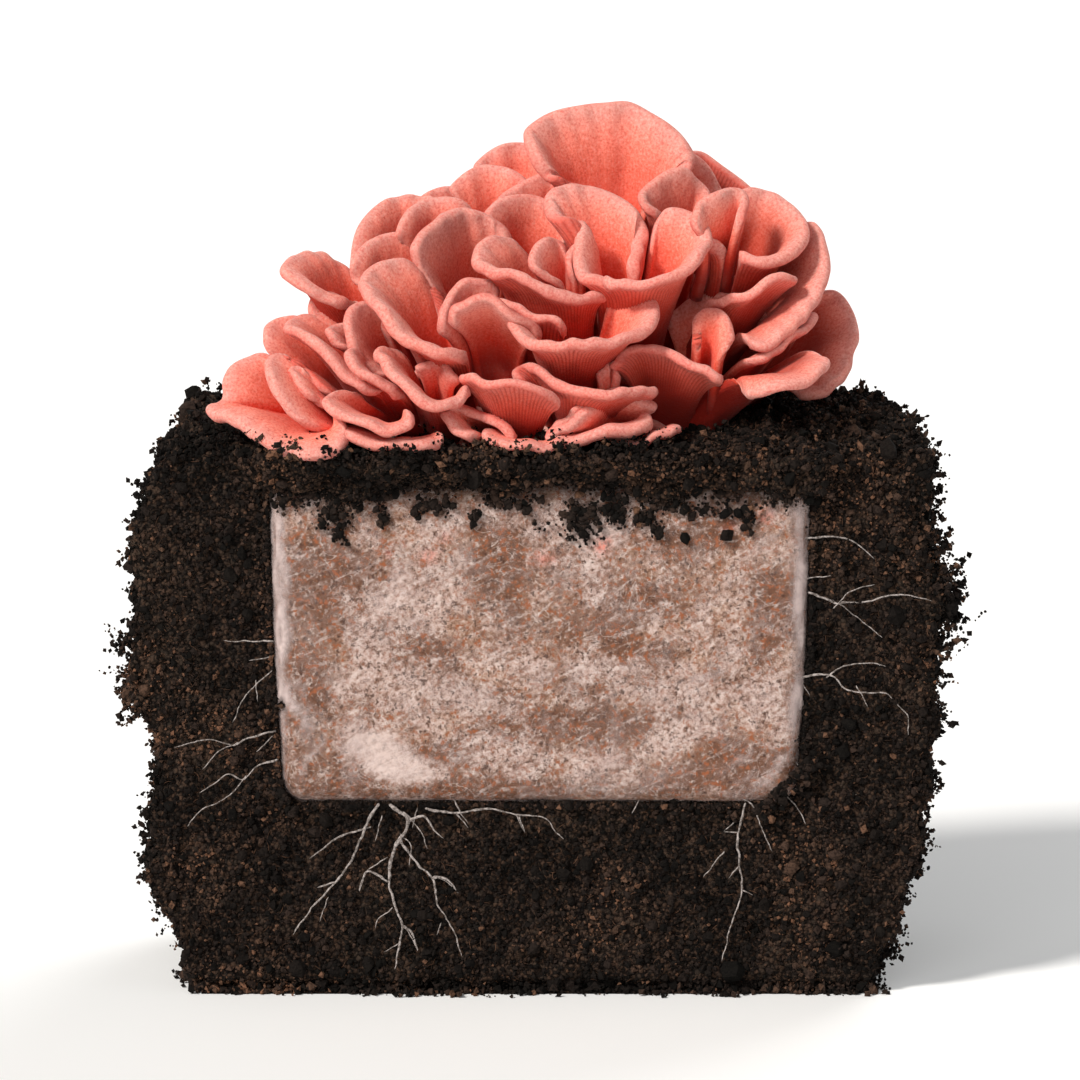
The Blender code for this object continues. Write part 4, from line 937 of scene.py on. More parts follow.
# %% [markdown]
# Every cap stands for one of the solids, and the young lobes come on top of those. A cap's number is the
# seed of all its chance values.

# %% Making the cluster
def placed(foot, throat, rim):
    """A cap's three parts, from the observer's (across, up, depth) to the part's frame."""
    return in_part_frame(foot)[0], in_part_frame(throat)[0], in_part_frame(rim)


for number, (name, foot, throat, rim) in enumerate(CAPS):
    if name == "cap_right_bulge":  # this narrow one's two ends would fold back over its own stem
        rim = rim[1:-1]
    cap = make_cap(name + "_flesh", *placed(foot, throat, rim), number, FLATTER.get(name, 0.0))
    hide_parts(name)
for number, (name, *shape) in enumerate(FAR_CAPS, start=60):
    cap = make_cap(name + "_flesh", *far_cap(*shape), number)
    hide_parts(name)
for number, (name, *shape) in enumerate(YOUNG_LOBES, start=80):
    make_cap(name, *placed(*shape), number, rows_wanted=(16, 6))
for number, shape in enumerate(FAR_LOBES, start=1):
    make_cap(f"lobe_far_{number}", *far_cap(*shape), 99 + number, rows_wanted=LOBE_ROWS)
print("cluster triangles:", sum(made_triangles.values()))

# %% [markdown]
# ## The fused foot
# The foot is a low dome that stands on the block and comes up through the soil. It is worked out in polar
# form: how far round, and how far from the middle of the top over the shoulder to the flat underside. Stems
# that have grown together leave flutes, and pin-sized young caps leave knobs.

# %% The foot as a fluted dome
SHOULDER = 0.72  # the share of the rows that lie on the dome; the others close it underneath


def foot_surface(columns=200, rows=50):
    """Angle a runs round, t runs from the top over the shoulder to the middle of the underside: an
    ellipsoid, cut off flat at the block, pushed out by flutes and knobs."""
    a = np.linspace(0, 2 * math.pi, columns, endpoint=False)
    t = np.linspace(0, 1, rows)[:, None]
    down = 0.5 * math.pi * np.clip(t / SHOULDER, 0, 1) * 1.25
    ring = np.sin(down) * np.where(t > SHOULDER, (1 - t) / (1 - SHOULDER), 1)
    height = np.where(t > SHOULDER, -1.0, np.cos(down))
    p = np.stack([BASE_RADII[0] * ring * np.cos(a), BASE_RADII[1] * ring * np.sin(a),
                  BASE_RADII[2] * height * np.ones_like(a)], axis=-1)
    away = unit(p / BASE_RADII ** 2)
    free = (step(0.74, 0.66, t) * step(0.0, 0.06, t))[..., None]
    flutes = 1.3 * np.abs(np.sin(17 * a + 2 * noise(p, 20, 301)))[..., None] * step(0.2, 0.6, t)[..., None]
    knobs = (1.5 * noise(p, 7, 302) + 0.8 * noise(p, 3, 303))[..., None]
    p = p + BASE_CENTRE + away * free * (flutes + knobs - 0.5)
    p[..., 2] = np.maximum(p[..., 2], BLOCK_TOP + 0.3)
    p[0], p[-1] = p[0].mean(0), p[-1].mean(0)
    return p


dome = foot_surface()
foot_piece = piece("stem_base_flesh", dome.reshape(-1, 3), grid_triangles(*dome.shape[:2], wrap_columns=True),
                   foot_flesh, "stem_flesh")
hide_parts("stem_base")
print("foot:", made_triangles["stem_base_flesh"], "triangles")

# %% [markdown]
# ## Mycelium strands, first their routes
# From the block's edges, strands of mycelium fork over the cut soil like tiny rivers. They are drawn before
# the soil, which has to leave them lying on top. A strand is a run of (across, up) points, and each further
# run is a fork that starts on an earlier one.

# %% Routes: width in mm, and runs of (across, up) points
STRANDS = {
    "strand_trunk": (1.5, [
        [(-54, 69.3), (-49, 65), (-52, 58), (-55, 51), (-56, 42), (-54, 33), (-51, 26), (-52.5, 17),
         (-54, 9)],
        [(-49, 65), (-43, 66.5), (-39, 61), (-35, 58)],
        [(-52, 58), (-46, 49), (-40, 43.5), (-38, 34), (-33, 25.5), (-28.5, 14)],
        [(-40, 43.5), (-35, 43), (-30, 37.5)],
        [(-56, 42), (-64, 46), (-67, 38)],
        [(-51, 26), (-48, 23), (-45, 16)]]),
    "strand_left_main": (1.1, [
        [(-61, 69.3), (-65, 62), (-69.5, 51), (-76, 42), (-84.5, 32.5), (-92, 22)],
        [(-65, 62), (-75, 58.5), (-85.5, 50.5)],
        [(-76, 42), (-83, 40)]]),
    "strand_centre": (0.9, [
        [(-40, 69), (-31, 68), (-20, 69.3), (-14, 68.6), (-7.5, 67), (2, 66), (5.5, 61), (9, 57.5)],
        [(-31, 68), (-26.5, 62)],
        [(-7.5, 67), (-5.5, 60)]]),
    "strand_right_low": (0.9, [
        [(75.5, 69.3), (73.5, 60.5), (74, 48), (75, 39), (71.5, 27.5), (67.5, 12)],
        [(73.5, 60.5), (68, 61)],
        [(74, 48), (70, 43.5)],
        [(75, 39), (79, 37)]]),
    "strand_right_fork": (0.9, [
        [(101, 149), (110, 145.5), (112, 146), (121, 146), (129, 148.5), (137.5, 148), (145, 146.5)],
        [(110, 145.5), (117, 140.5), (127, 132.5)]]),
}
print("strands:", len(STRANDS))

# %% [markdown]
# Thinner threads and twigs fill the places between them. The soil's lumps and crumbs ask how near a route is,
# so all routes are turned to closely spaced points on the cut face too.

# %% Routes of the fine threads
FINE_STRANDS = {
    "thread_right_high": (0.8, [[(100, 169.6), (109, 170), (116, 168), (123.5, 161.8)]]),
    "thread_right_stub": (0.6, [
        [(100.5, 154.9), (107.5, 155.7)], [(110, 145.5), (114, 149.6), (123.5, 152.6)]]),
    "thread_right_middle": (0.8, [
        [(97, 118), (107, 119), (112.5, 114), (120, 112.5), (128, 112.5), (132.5, 107.5), (136, 103.5),
         (136.5, 96.5)],
        [(107, 119), (111.5, 122), (121.5, 123.5), (128, 122)],
        [(118, 113), (121, 106.6)], [(97, 115.7), (99.6, 111)]]),
    "thread_right_corner": (0.7, [
        [(88.4, 80), (91.3, 74), (95, 69.9), (98.7, 63.7)], [(90.5, 73.6), (88.8, 69.9)],
        [(94.5, 87), (96.8, 84.4)]]),
    "thread_right_low": (0.6, [
        [(76, 72.4), (79, 69.9), (83, 60), (86.3, 53)], [(73.2, 64.8), (68, 61)],
        [(68.7, 53.9), (60.5, 43.5)], [(36.8, 72.6), (34.1, 67.3)]]),
    "thread_trunk_twigs": (0.6, [
        [(-49, 66.4), (-44.8, 61.8), (-41.3, 53.9)], [(-39.3, 43.5), (-35.3, 42.9), (-30, 37.4)],
        [(-36.5, 27.3), (-38.2, 22)], [(-50.9, 25.6), (-48.3, 22.9), (-45.4, 15.7)],
        [(-54.4, 32.5), (-60, 27.8), (-61.3, 24.4)], [(-51.8, 19.4), (-58.1, 15.7)],
        [(-56, 51.3), (-64, 46), (-67, 38.3)], [(-52, 60), (-47.8, 55.6), (-49, 48)]]),
    "thread_centre_twigs": (0.6, [
        [(-31, 70.8), (-26.5, 63.8)], [(-9.1, 67.2), (-5.6, 60)], [(-45.6, 70), (-47.2, 62)]]),
    "thread_left_twigs": (0.6, [
        [(-64.8, 61.8), (-75.3, 58.3), (-85.7, 50.5)], [(-76.1, 42), (-83, 39.7)],
        [(-78.7, 36.5), (-81.7, 27)], [(-58.6, 67), (-61, 57)]]),
    "thread_left_high": (0.6, [
        [(-100.5, 131.6), (-117, 131.6)], [(-101, 125.5), (-107.4, 124)],
        [(-100.5, 119.2), (-108.3, 112.2), (-113.8, 101)], [(-104.8, 114.8), (-104.3, 109)]]),
    "thread_left_low": (0.7, [
        [(-99.6, 97.7), (-108.3, 95.3), (-113.8, 93), (-122.2, 95), (-128.9, 94), (-135.5, 92.2)],
        [(-113.8, 93), (-119.6, 90), (-125.1, 83.9)], [(-100.5, 94.8), (-105.3, 90.5)]]),
    "thread_left_lowest": (0.7, [
        [(-99.2, 87), (-104.3, 85.4), (-110, 80.2), (-115.5, 82), (-126, 75)],
        [(-110, 80.2), (-116.5, 73), (-126, 68.5), (-130.5, 62.5)]]),
}

routes = np.concatenate([smooth_line(np.array(run, float), np.linspace(0, 1, 30))
                         for book in (STRANDS, FINE_STRANDS) for _, runs in book.values() for run in runs])
routes = np.column_stack([routes[:, 0], (routes[:, 1] + 0.3) / math.cos(VIEW_TILT)])  # (x, z) on the face


def near_route(x, z, within):
    """1 on a strand's route, falling to 0 at that distance in mm; worked out only on the cut face."""
    near = np.full(len(x), 1e9)
    for part in np.array_split(np.arange(len(x)), max(1, len(x) // 4000)):
        gap = (x[part, None] - routes[:, 0]) ** 2 + (z[part, None] - routes[:, 1]) ** 2
        near[part] = np.sqrt(gap.min(1))
    return np.clip(1 - near / within, 0, 1)


print("route points:", len(routes))

# %% [markdown]
# ## The clod
# The clod is one closed skin, worked out like a parcel: the columns of points go once round it, and the rows
# start in the middle of the underside, come out to the foot, climb the sides and close over the top. On the
# two flat ends each ring lies a little inside the last one, so the rings end on a line.

# %% The clod's plan and its sides
PLAN_HALF = np.array([150.0, 76.5])  # half the width and depth of the rectangle that is made into rings


def soil_plan(q, back, z):
    """A unit rectangle (q from -0.5 left to 0.5 right, back from 0 to 1) bent to the clod's outline at
    height z: the left and right edges follow their lines, and the back corners are drawn in."""
    left, right = np.interp(z, *zip(*SOIL_LEFT)), np.interp(z, *zip(*SOIL_RIGHT))
    x = (left + right) / 2 + (right - left) * q * (1 - 0.10 * back ** 3)
    y = SOIL_FRONT + (SOIL_BACK - SOIL_FRONT) * back * (1 - 0.12 * (2 * q) ** 4 * back)
    return np.stack([x, y, z], axis=-1)


def ring(inset, columns):
    """One closed ring of (q, back): the plain rectangle, walked evenly, each side moved in by inset mm."""
    wide, deep = PLAN_HALF
    turns = np.cumsum([0, 2 * wide, 2 * deep, 2 * wide, 2 * deep])  # where the walk turns a corner
    pace = np.linspace(0, turns[-1], columns, endpoint=False)
    q = np.interp(pace, turns, [-wide, wide, wide, -wide, -wide])
    b = np.interp(pace, turns, [-deep, -deep, deep, deep, -deep])
    q = np.sign(q) * np.minimum(np.abs(q), wide - inset)
    b = np.sign(b) * np.minimum(np.abs(b), deep - inset)
    return q / (2 * wide), (b + deep) / (2 * deep)


COLUMNS, SIDE_ROWS, TOP_RINGS, UNDER_RINGS = 520, 118, 36, 9
insets = np.concatenate([np.linspace(PLAN_HALF[1], 0, UNDER_RINGS)[:-1], np.zeros(SIDE_ROWS),
                         np.linspace(0, PLAN_HALF[1], TOP_RINGS)[1:]])
heights = np.concatenate([np.zeros(UNDER_RINGS - 1), np.linspace(0, SOIL_TOP, SIDE_ROWS),
                          np.full(TOP_RINGS - 1, SOIL_TOP)])
rings = [ring(inset, COLUMNS) for inset in insets]
flat_clod = np.array([soil_plan(q, back, np.full(COLUMNS, z)) for (q, back), z in zip(rings, heights)])
print("clod grid:", flat_clod.shape[:2])

# %% [markdown]
# The soil hangs over the block's top edge with a ragged lower edge of its own. The pocket is as wide as the
# block, which tapers. Round the right-hand caps the soil is heaped up.

# %% Overhang, pocket and heaps
STRIP_LOW = 190.0  # how far down the overhanging soil comes


def strip_low(x):
    """The ragged lower edge of the soil that hangs over the block."""
    return STRIP_LOW + 2.2 * np.sin(x / 9.0) + 1.6 * np.sin(x / 4.3 + 1) + 2.0 * np.sin(x / 23.0 + 2)


def block_edge(z):
    """Half the block's width at a height."""
    up = np.clip((z - BLOCK_FLOOR) / BLOCK_SIZE[2], 0, 1)
    return 0.5 * BLOCK_SIZE[0] * (1 - BLOCK_TAPER * (1 - up) ** 2)


def heap(x, y):
    """How much higher the soil lies: heaps round the right-hand caps, at both ends and behind."""
    return (11.0 * np.exp(-((x - 96) / 40) ** 2 - ((y + 38) / 26) ** 2)
            + 12.0 * np.exp(-((x - 91) / 24) ** 2 - ((y - 4) / 26) ** 2)
            + 15.0 * np.exp(-((x + 129) / 20) ** 2 - ((y + 15) / 42) ** 2)
            + 8.0 * np.exp(-((x - 126) / 20) ** 2 - ((y - 10) / 46) ** 2)
            + 4.0 * np.exp(-(x / 80) ** 2 - ((y - 62) / 16) ** 2))


print("half the pocket's width at its floor:", block_edge(BLOCK_FLOOR))

# %% [markdown]
# Soil breaks along its crumbs, so its surface is rounded lumps with cracks between them: noise whose sign is
# taken away has exactly that look. Lumps of three sizes are added, lower on the cut face, and leave the
# strands lying on top there.

# %% Relief of the clod
def lumpy(p, size, seed):
    """Rounded lumps with sharp cracks between them: one minus 2.6 times the size of the noise."""
    return 1 - 2.6 * np.abs(noise(p, size, seed))


x, y, z = np.moveaxis(flat_clod, -1, 0)
on_top, on_side = (z > SOIL_TOP - 0.01), (z > 0.01) & (z < SOIL_TOP - 0.01)
on_face = on_side & (y < SOIL_FRONT + 2)
edge = np.maximum(step(14, 0, SOIL_TOP - z) * on_side, on_top * step(14, 0, insets)[:, None])
relief = 1.5 * lumpy(flat_clod, 13, 401) + 1.3 * lumpy(flat_clod, 6, 402) + 0.9 * lumpy(flat_clod, 3.2, 403)
relief = (np.where(on_face, 0.75, 1.25) + 0.5 * edge) * relief - 1.2
relief += np.where(on_side & ~on_face, 3.2 * noise(flat_clod, 26, 404), 0)
relief *= np.where(z < 0.01, 0, step(0, 3, z))
tamed = near_route(x[on_face], z[on_face], 4.0)
relief[on_face] = np.where(tamed > 0, np.minimum(relief[on_face], 0.3 - 0.6 * tamed), relief[on_face])
print("relief from", relief.min().round(1), "to", relief.max().round(1), "mm")

# %% [markdown]
# Then larger moves follow: the ends are torn, the foot of the cut is drawn back a little, the heaps rise, the
# overhang comes forward and the pocket goes in as deep as the block.

# %% The clod as a piece
def clod_surface():
    """The flat clod plus its relief along the normals, plus the larger moves along x, y and z."""
    round_it = np.roll(flat_clod, -1, 1) - np.roll(flat_clod, 1, 1)
    normal = np.nan_to_num(unit(np.cross(round_it, np.gradient(flat_clod, axis=0))))
    if ((flat_clod - flat_clod.mean((0, 1))) * normal).sum() < 0:
        normal = -normal
    q = flat_clod + normal * relief[..., None]
    torn = 3.0 * noise(flat_clod * (1, 0.2, 1), 11, 405) + 2.0 * noise(flat_clod * (1, 0.4, 1), 4.5, 407)
    q[..., 0] += np.where(on_side | on_top, torn * step(90, 150, np.abs(x)), 0)
    q[..., 1] += 7.0 * on_face * step(7, 0, z)
    q[..., 2] += on_top * heap(x, y) * step(0, 8, insets)[:, None] - 2.0 * edge
    hang = step(112, 100, np.abs(x - 2)) * step(-2.0, 2.5, z - strip_low(x)) * step(-50, -72, y)
    shelf = step(192, 204, z) * step(-114, -100, x) * step(80, 55, x)  # the caps in front rest on it
    q[..., 1] -= hang * (9.5 + 6.5 * shelf + 1.6 * noise(flat_clod, 8, 406))
    in_width, in_height = np.abs(x) < block_edge(z) - 1.0, (z > BLOCK_FLOOR + 1.0) & (z < BLOCK_TOP)
    pocket = on_face & in_width & in_height & (hang < 0.5)
    q[..., 1] = np.where(pocket, BLOCK_FRONT + BLOCK_SIZE[1] + 1.5, q[..., 1])
    q[..., 2] = np.maximum(q[..., 2], 0)
    return q


clod = clod_surface()
soil = piece("soil_clod", clod.reshape(-1, 3), grid_triangles(*clod.shape[:2], wrap_columns=True), moist_soil,
             "casing_soil")
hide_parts("soil")
print("clod:", made_triangles["soil_clod"], "triangles")

# %% [markdown]
# ## The block and its bag
# The block is a cuboid with soft edges that narrows a little towards its foot. Every point of a plain cuboid
# is pulled in to a core that is smaller by the radius, and pushed out again by the radius, straight away from
# the core. The bag is the same form, a little larger.

# %% A rounded block as a formula
def cuboid_grid(size, cell):
    """Points and triangles of a plain cuboid's six sides, each a grid of cells of about that size."""
    points, triangles, count = [], [], 0
    for axis in range(3):
        i, j = [k for k in range(3) if k != axis]
        n, m = (int(round(size[k] / cell)) + 1 for k in (i, j))
        a, b = np.meshgrid(np.linspace(-0.5, 0.5, n), np.linspace(-0.5, 0.5, m), indexing="ij")
        for end in (-0.5, 0.5):
            p = np.zeros((n, m, 3))
            p[..., axis], p[..., i], p[..., j] = end, a, b
            t = grid_triangles(n, m) + count
            flip = (end > 0) == (axis == 1)  # so that every side's triangles face out
            points.append(p.reshape(-1, 3) * size)
            triangles.append(t[:, ::-1] if flip else t)
            count += n * m
    return np.concatenate(points), np.concatenate(triangles)


def block_form(grow, cell):
    """The rounded, slightly tapered block with its faces standing off by grow, and its outward directions."""
    size, radius = BLOCK_SIZE + 2 * grow, BLOCK_ROUND + grow
    p, triangles = cuboid_grid(size, cell)
    core = np.clip(p, -size / 2 + radius, size / 2 - radius)
    away = unit(p - core)
    p = core + radius * away
    height = p[:, 2] / BLOCK_SIZE[2] + 0.5
    p[:, 0] *= 1 - BLOCK_TAPER * (1 - height) ** 2
    return p + (0, BLOCK_FRONT + BLOCK_SIZE[1] / 2, BLOCK_FLOOR + BLOCK_SIZE[2] / 2), triangles, away


print("points in cells of 10 mm:", len(cuboid_grid(BLOCK_SIZE, 10)[0]))

# %% [markdown]
# The largest white, brown and pink patches are soft marks, and the block's points carry their sum. The two
# sides carry the same marks, read from front to back. The surface is a little uneven, since sawdust settles
# as it is packed.

# %% Patches on the block
def spots(x, z, marks):
    """Sum of soft round-edged marks (x, z, half width, half height, amount), cut off at 1."""
    total = sum(a * np.exp(-(((x - u) / w) ** 2 + ((z - v) / h) ** 2) ** 1.5) for u, v, w, h, a in marks)
    return np.clip(total, 0, 1)


WHITE_MARKS = [(-66, 96, 8, 5, 0.9), (-58, 92, 10, 9, 1.2), (-51, 86, 10, 6, 1.2), (-44, 83, 9, 3, 0.8),
               (-44, 152, 24, 12, 0.6), (-62, 136, 12, 16, 0.5), (5, 176, 22, 6, 0.5), (55, 113, 24, 5, 0.5),
               (60, 101, 12, 8, 0.4), (86, 112, 9, 16, 0.6), (28, 172, 14, 6, 0.6), (-30, 112, 18, 6, 0.5),
               (-56, 118, 22, 5, 0.5), (24, 124, 18, 5, 0.4), (-20, 94, 22, 6, 0.4), (24, 90, 22, 5, 0.3)]
BROWN_MARKS = [(-80, 152, 14, 24, 1.0), (-16, 160, 12, 16, 1.0), (76, 88, 18, 10, 1.0), (8, 140, 22, 9, 0.7),
               (-66, 178, 22, 5, 0.5), (-22, 78, 56, 4, 0.7), (16, 103, 24, 6, 0.9), (62, 174, 26, 8, 0.8),
               (52, 82, 16, 8, 0.9), (-86, 112, 10, 18, 0.8), (-82, 84, 12, 10, 0.8), (-36, 92, 14, 4, 0.8),
               (48, 152, 18, 9, 0.6), (-36, 130, 12, 5, 0.6), (40, 130, 16, 6, 0.4), (84, 146, 10, 16, 0.6)]
BLUSH_MARKS = [(-41, 165, 4, 2.5, 0.5), (1.5, 164, 5, 2.5, 0.5), (23, 169, 3, 3, 1.0), (-35, 172, 3, 2, 0.4),
               (83, 180, 3, 3, 0.6), (70, 176, 3, 2, 0.4), (-92, 186, 2.5, 2, 0.8), (-56, 166, 2, 2, 0.4)]

BLOCK_CELL, BAG_CELL = 2.6, 2.2  # size of the cells in their meshes

p, triangles, away = block_form(0, BLOCK_CELL)
turned_round = np.where(np.abs(away[:, 0]) > 0.7, p[:, 1], p[:, 0])
p = p - away * (0.35 - 0.35 * noise(p, 18, 501) - 0.2 * noise(p, 5, 502))[:, None]
block = piece("sawdust_block", p, triangles, colonised_sawdust, "colonised_sawdust",
              attributes={"white": spots(turned_round, p[:, 2], WHITE_MARKS),
                          "brown": spots(turned_round, p[:, 2], BROWN_MARKS),
                          "blush": spots(turned_round, p[:, 2], BLUSH_MARKS)})
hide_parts("substrate_block")
print("block:", made_triangles["sawdust_block"], "triangles")

# %% [markdown]
# The film clings to the block, and stands off it in creases: a fold runs down each side where the bag's
# gusset is, and short drag lines fan out from the lower corners. A crease is a ridge along a line, whose
# height falls off as a bell curve, and the film is milky along it.

# %% The film's creases: both ends, width and height
CREASES = [
    ((-97, 186), (-94, 150), 1.6, 0.9), ((-94, 150), (-96, 118), 1.6, 1.1),
    ((-96, 118), (-84, 100), 1.5, 1.1),
    ((-97, 160), (-97, 90), 1.8, 0.6), ((96, 186), (97, 130), 1.8, 0.8), ((97, 130), (93, 92), 1.8, 0.8),
    ((93, 92), (80, 78), 1.5, 0.6), ((50, 118), (72, 123), 1.0, 0.5), ((20, 112), (48, 118), 0.9, 0.3),
    ((66, 84), (78, 92), 1.0, 0.5), ((70, 80), (84, 86), 0.9, 0.5), ((-60, 150), (-44, 168), 1.0, 0.3),
    ((-48, 140), (-20, 146), 0.9, 0.25), ((-90, 82), (-78, 100), 1.0, 0.4), ((82, 168), (94, 182), 1.0, 0.4),
    ((-40, 98), (-22, 84), 1.0, 0.3), ((20, 150), (36, 140), 0.9, 0.2), ((-92, 120), (-80, 104), 1.0, 0.4)]


def crease_field(u, z):
    """For a point of the face: the strongest crease near it, 1 on its line, with a bell-shaped fall-off."""
    best = np.zeros(len(u))
    for (u0, z0), (u1, z1), width, amount in CREASES:
        line = np.array([u1 - u0, z1 - z0])
        t = np.clip(((u - u0) * line[0] + (z - z0) * line[1]) / (line @ line), 0, 1)
        bend = 1.2 * np.sin(3 * math.pi * t + u0)
        gap = np.hypot(u - u0 - t * line[0] + bend, z - z0 - t * line[1])
        best = np.maximum(best, amount * np.exp(-(gap / width) ** 2) * np.minimum(1, 4 * t * (1 - t) + 0.3))
    return best


print("creases:", len(CREASES))

# %% [markdown]
# The bag has no lid, because the mushrooms grow out of its cut top. A Solidify modifier gives it its wall.

# %% The film as a piece
STAND_OFF, FILM_WALL = 0.15, 0.3


def film_surface():
    """The larger block form, pushed out at the creases, and how milky the film is at every point."""
    p, triangles, away = block_form(STAND_OFF, BAG_CELL)
    side = np.abs(away[:, 0]) > 0.7
    u = np.where(side, 1.6 * p[:, 1] + 30, p[:, 0])
    fold = crease_field(u, p[:, 2])
    p = p + away * (0.75 * fold + 0.12 * (1 + noise(p, 9, 601)))[:, None]
    streaks = 0.8 + 0.7 * noise(p * (1, 1, 0.12), 3, 604)
    band = step(92.5, 96.0, np.abs(p[:, 0]) + 1.8 * noise(p * (1, 1, 0.3), 9, 603)) * streaks
    milky = 0.55 * fold + 0.30 * band + 0.06 * (noise(p, 14, 602) > 0.5)
    return p, triangles, milky


p, triangles, milky = film_surface()
lid = (p[triangles][..., 2] > BLOCK_TOP + 0.05).all(1)
p, triangles, carried = weld(p, triangles[~lid], {"milky": milky})
bag = piece("film_bag", p, triangles, film, "film", attributes=carried, closed=False)
wall = bag.modifiers.new("film wall", "SOLIDIFY")
wall.thickness, wall.offset = FILM_WALL * MM, 1
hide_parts("grow_bag")
print("bag:", made_triangles["film_bag"], "triangles")

# %% [markdown]
# ## The strands themselves
# A strand is a round profile carried along its route. It starts at full width, wavers a little, and runs out
# to a point. It lies half sunk in the soil.

# %% Tubes along paths
def tube(path, radius, sides=7):
    """Rings of points round a path: at every point two directions square to the path carry a circle."""
    along = unit(np.gradient(path, axis=0))
    first = unit(np.cross(along, (0, 1, 0.01)))
    second = np.cross(along, first)
    turn = np.linspace(0, 2 * math.pi, sides, endpoint=False)[:, None]
    return path[:, None] + radius[:, None, None] * (np.cos(turn) * first[:, None]
                                                    + np.sin(turn) * second[:, None])


def strand_surface(thick, runs, seed):
    """Every run is one closed tube. Widths fall along a run, a fork starts at two thirds of the width, and
    both ends close to a point. The first run starts a little further back, under the film."""
    points, triangles, count = [], [], 0
    for number, run in enumerate(runs):
        run = np.array(run, float)
        if number == 0 or abs(run[0, 0]) > 96:
            run[0] += 2.6 * unit(run[0] - run[1])
        length = np.linalg.norm(np.diff(run, axis=0), axis=1).sum()
        rows = max(8, int(length / 0.6))
        t = np.linspace(0, 1, rows)
        flat = smooth_line(run, t)
        spot = np.column_stack([flat[:, 0], np.zeros(rows), flat[:, 1]])
        wander = [0.45 * noise(spot + k, 3.7, seed) + 0.16 * noise(spot + k, 1.3, seed) for k in (0, 50)]
        flat = flat + np.column_stack(wander)
        radius = 0.56 * thick * (1 - 0.62 * t ** 0.8) * (0.66 if number else 1)
        radius = radius * (1 + 0.35 * noise(spot, 1.6, seed + 1))
        radius = np.maximum(radius, 0.20) * np.sqrt(np.clip((1 - t) * rows / 4, 0, 1))
        radius[0] = radius[-1] = 0
        depth = SOIL_FRONT - 0.7 - 0.35 * radius + 0.3 * noise(spot, 6, seed + 2)
        path = in_part_frame(np.column_stack([flat, depth]))
        rings = tube(path, radius)
        points.append(rings.reshape(-1, 3))
        triangles.append(grid_triangles(*rings.shape[:2], wrap_columns=True) + count)
        count += rings.shape[0] * rings.shape[1]
    return np.concatenate(points), np.concatenate(triangles)


for number, (name, (thick, runs)) in enumerate([*STRANDS.items(), *FINE_STRANDS.items()]):
    strand = piece(name + "_fibres" if name in STRANDS else name, *strand_surface(thick, runs, 700 + number),
                   strand_look, "mycelium")
    if name in STRANDS:
        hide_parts(name)
print("strands and threads:", len(STRANDS) + len(FINE_STRANDS))

# %% [markdown]
# ## Crumbs, clods and root fibres
# What makes soil look like soil is its loose skin of crumbs. A small crumb is a dented octahedron, and a clod
# is one with every side split in four.

# %% One grain
def octahedron():
    """The six corners at the ends of three crossed axes, and the eight triangles between them facing out."""
    corners = np.array([(1, 0, 0), (-1, 0, 0), (0, 1, 0), (0, -1, 0), (0, 0, 1), (0, 0, -1)], float)
    faces = list(itertools.product((0, 1), (2, 3), (4, 5)))
    faces = [f if np.linalg.det(corners[list(f)]) > 0 else f[::-1] for f in faces]
    return corners, np.array(faces)


def split(corners, faces):
    """Every triangle becomes four, with the new corners pushed out to the sphere."""
    pairs = np.sort(np.concatenate([faces[:, [0, 1]], faces[:, [1, 2]], faces[:, [2, 0]]]), axis=1)
    unique, number = np.unique(pairs, axis=0, return_inverse=True)
    a, b, c = len(corners) + number.reshape(3, -1)
    halves = unit(corners[unique].mean(1))
    x, y, z = faces.T
    quarter = [np.column_stack(t) for t in ((x, a, c), (a, y, b), (c, b, z), (a, b, c))]
    return np.concatenate([corners, halves]), np.concatenate(quarter)


print("triangles of a clod:", len(split(*octahedron())[1]))

# %% [markdown]
# Thousands of copies are made in one array: each is turned, squashed and sized at random and set on its own
# place. As in all broken stuff, most are small and a few are large.

# %% Many grains in one piece
def random_turns(rng, count):
    """Turning matrices from random unit quaternions."""
    w, x, y, z = unit(rng.normal(size=(count, 4))).T
    rows = [1 - 2 * (y * y + z * z), 2 * (x * y - z * w), 2 * (x * z + y * w),
            2 * (x * y + z * w), 1 - 2 * (x * x + z * z), 2 * (y * z - x * w),
            2 * (x * z - y * w), 2 * (y * z + x * w), 1 - 2 * (x * x + y * y)]
    return np.stack(rows, -1).reshape(-1, 3, 3)


def grains(name, places, radius, seed, fineness=0, brown=1.0):
    """One piece of many grains, each centred on its place. A grain's tone is chance times how brown the
    soil is round it, so brown crumbs lie together."""
    rng = np.random.default_rng(seed)
    corners, faces = octahedron()
    for _ in range(fineness):
        corners, faces = split(corners, faces)
    count = len(places)
    shape = corners * (1 + rng.uniform(-0.30, 0.25, (count, len(corners), 1)))
    shape = shape * rng.uniform(0.6, 1.2, (count, 1, 3)) * radius[:, None, None]
    shape = np.einsum("nij,nkj->nki", random_turns(rng, count), shape)
    points = shape + places[:, None]
    points[..., 2] = np.maximum(points[..., 2], 0)
    triangles = (faces + len(corners) * np.arange(count)[:, None, None]).reshape(-1, 3)
    patch = 0.55 + 0.75 * noise(places, 24, 890) + 0.45 * noise(places, 9, 891)
    tone = np.clip(rng.uniform(0, 1, count) ** 1.7 * np.clip(patch, 0.12, 1.3) * brown, 0, 1)
    tone[rng.uniform(size=count) < 0.02 * brown] = 0.9
    return piece(name, points.reshape(-1, 3), triangles, soil_crumbs, "casing_soil", smooth=False,
                 attributes={"tone": np.repeat(tone, len(corners))}, closed=False)


def sizes(rng, count, middle, spread, most):
    """Radii whose logarithms are spread as a bell curve round that of the middle, cut off at the most."""
    return np.minimum(middle * np.exp(spread * rng.normal(size=count)), most)


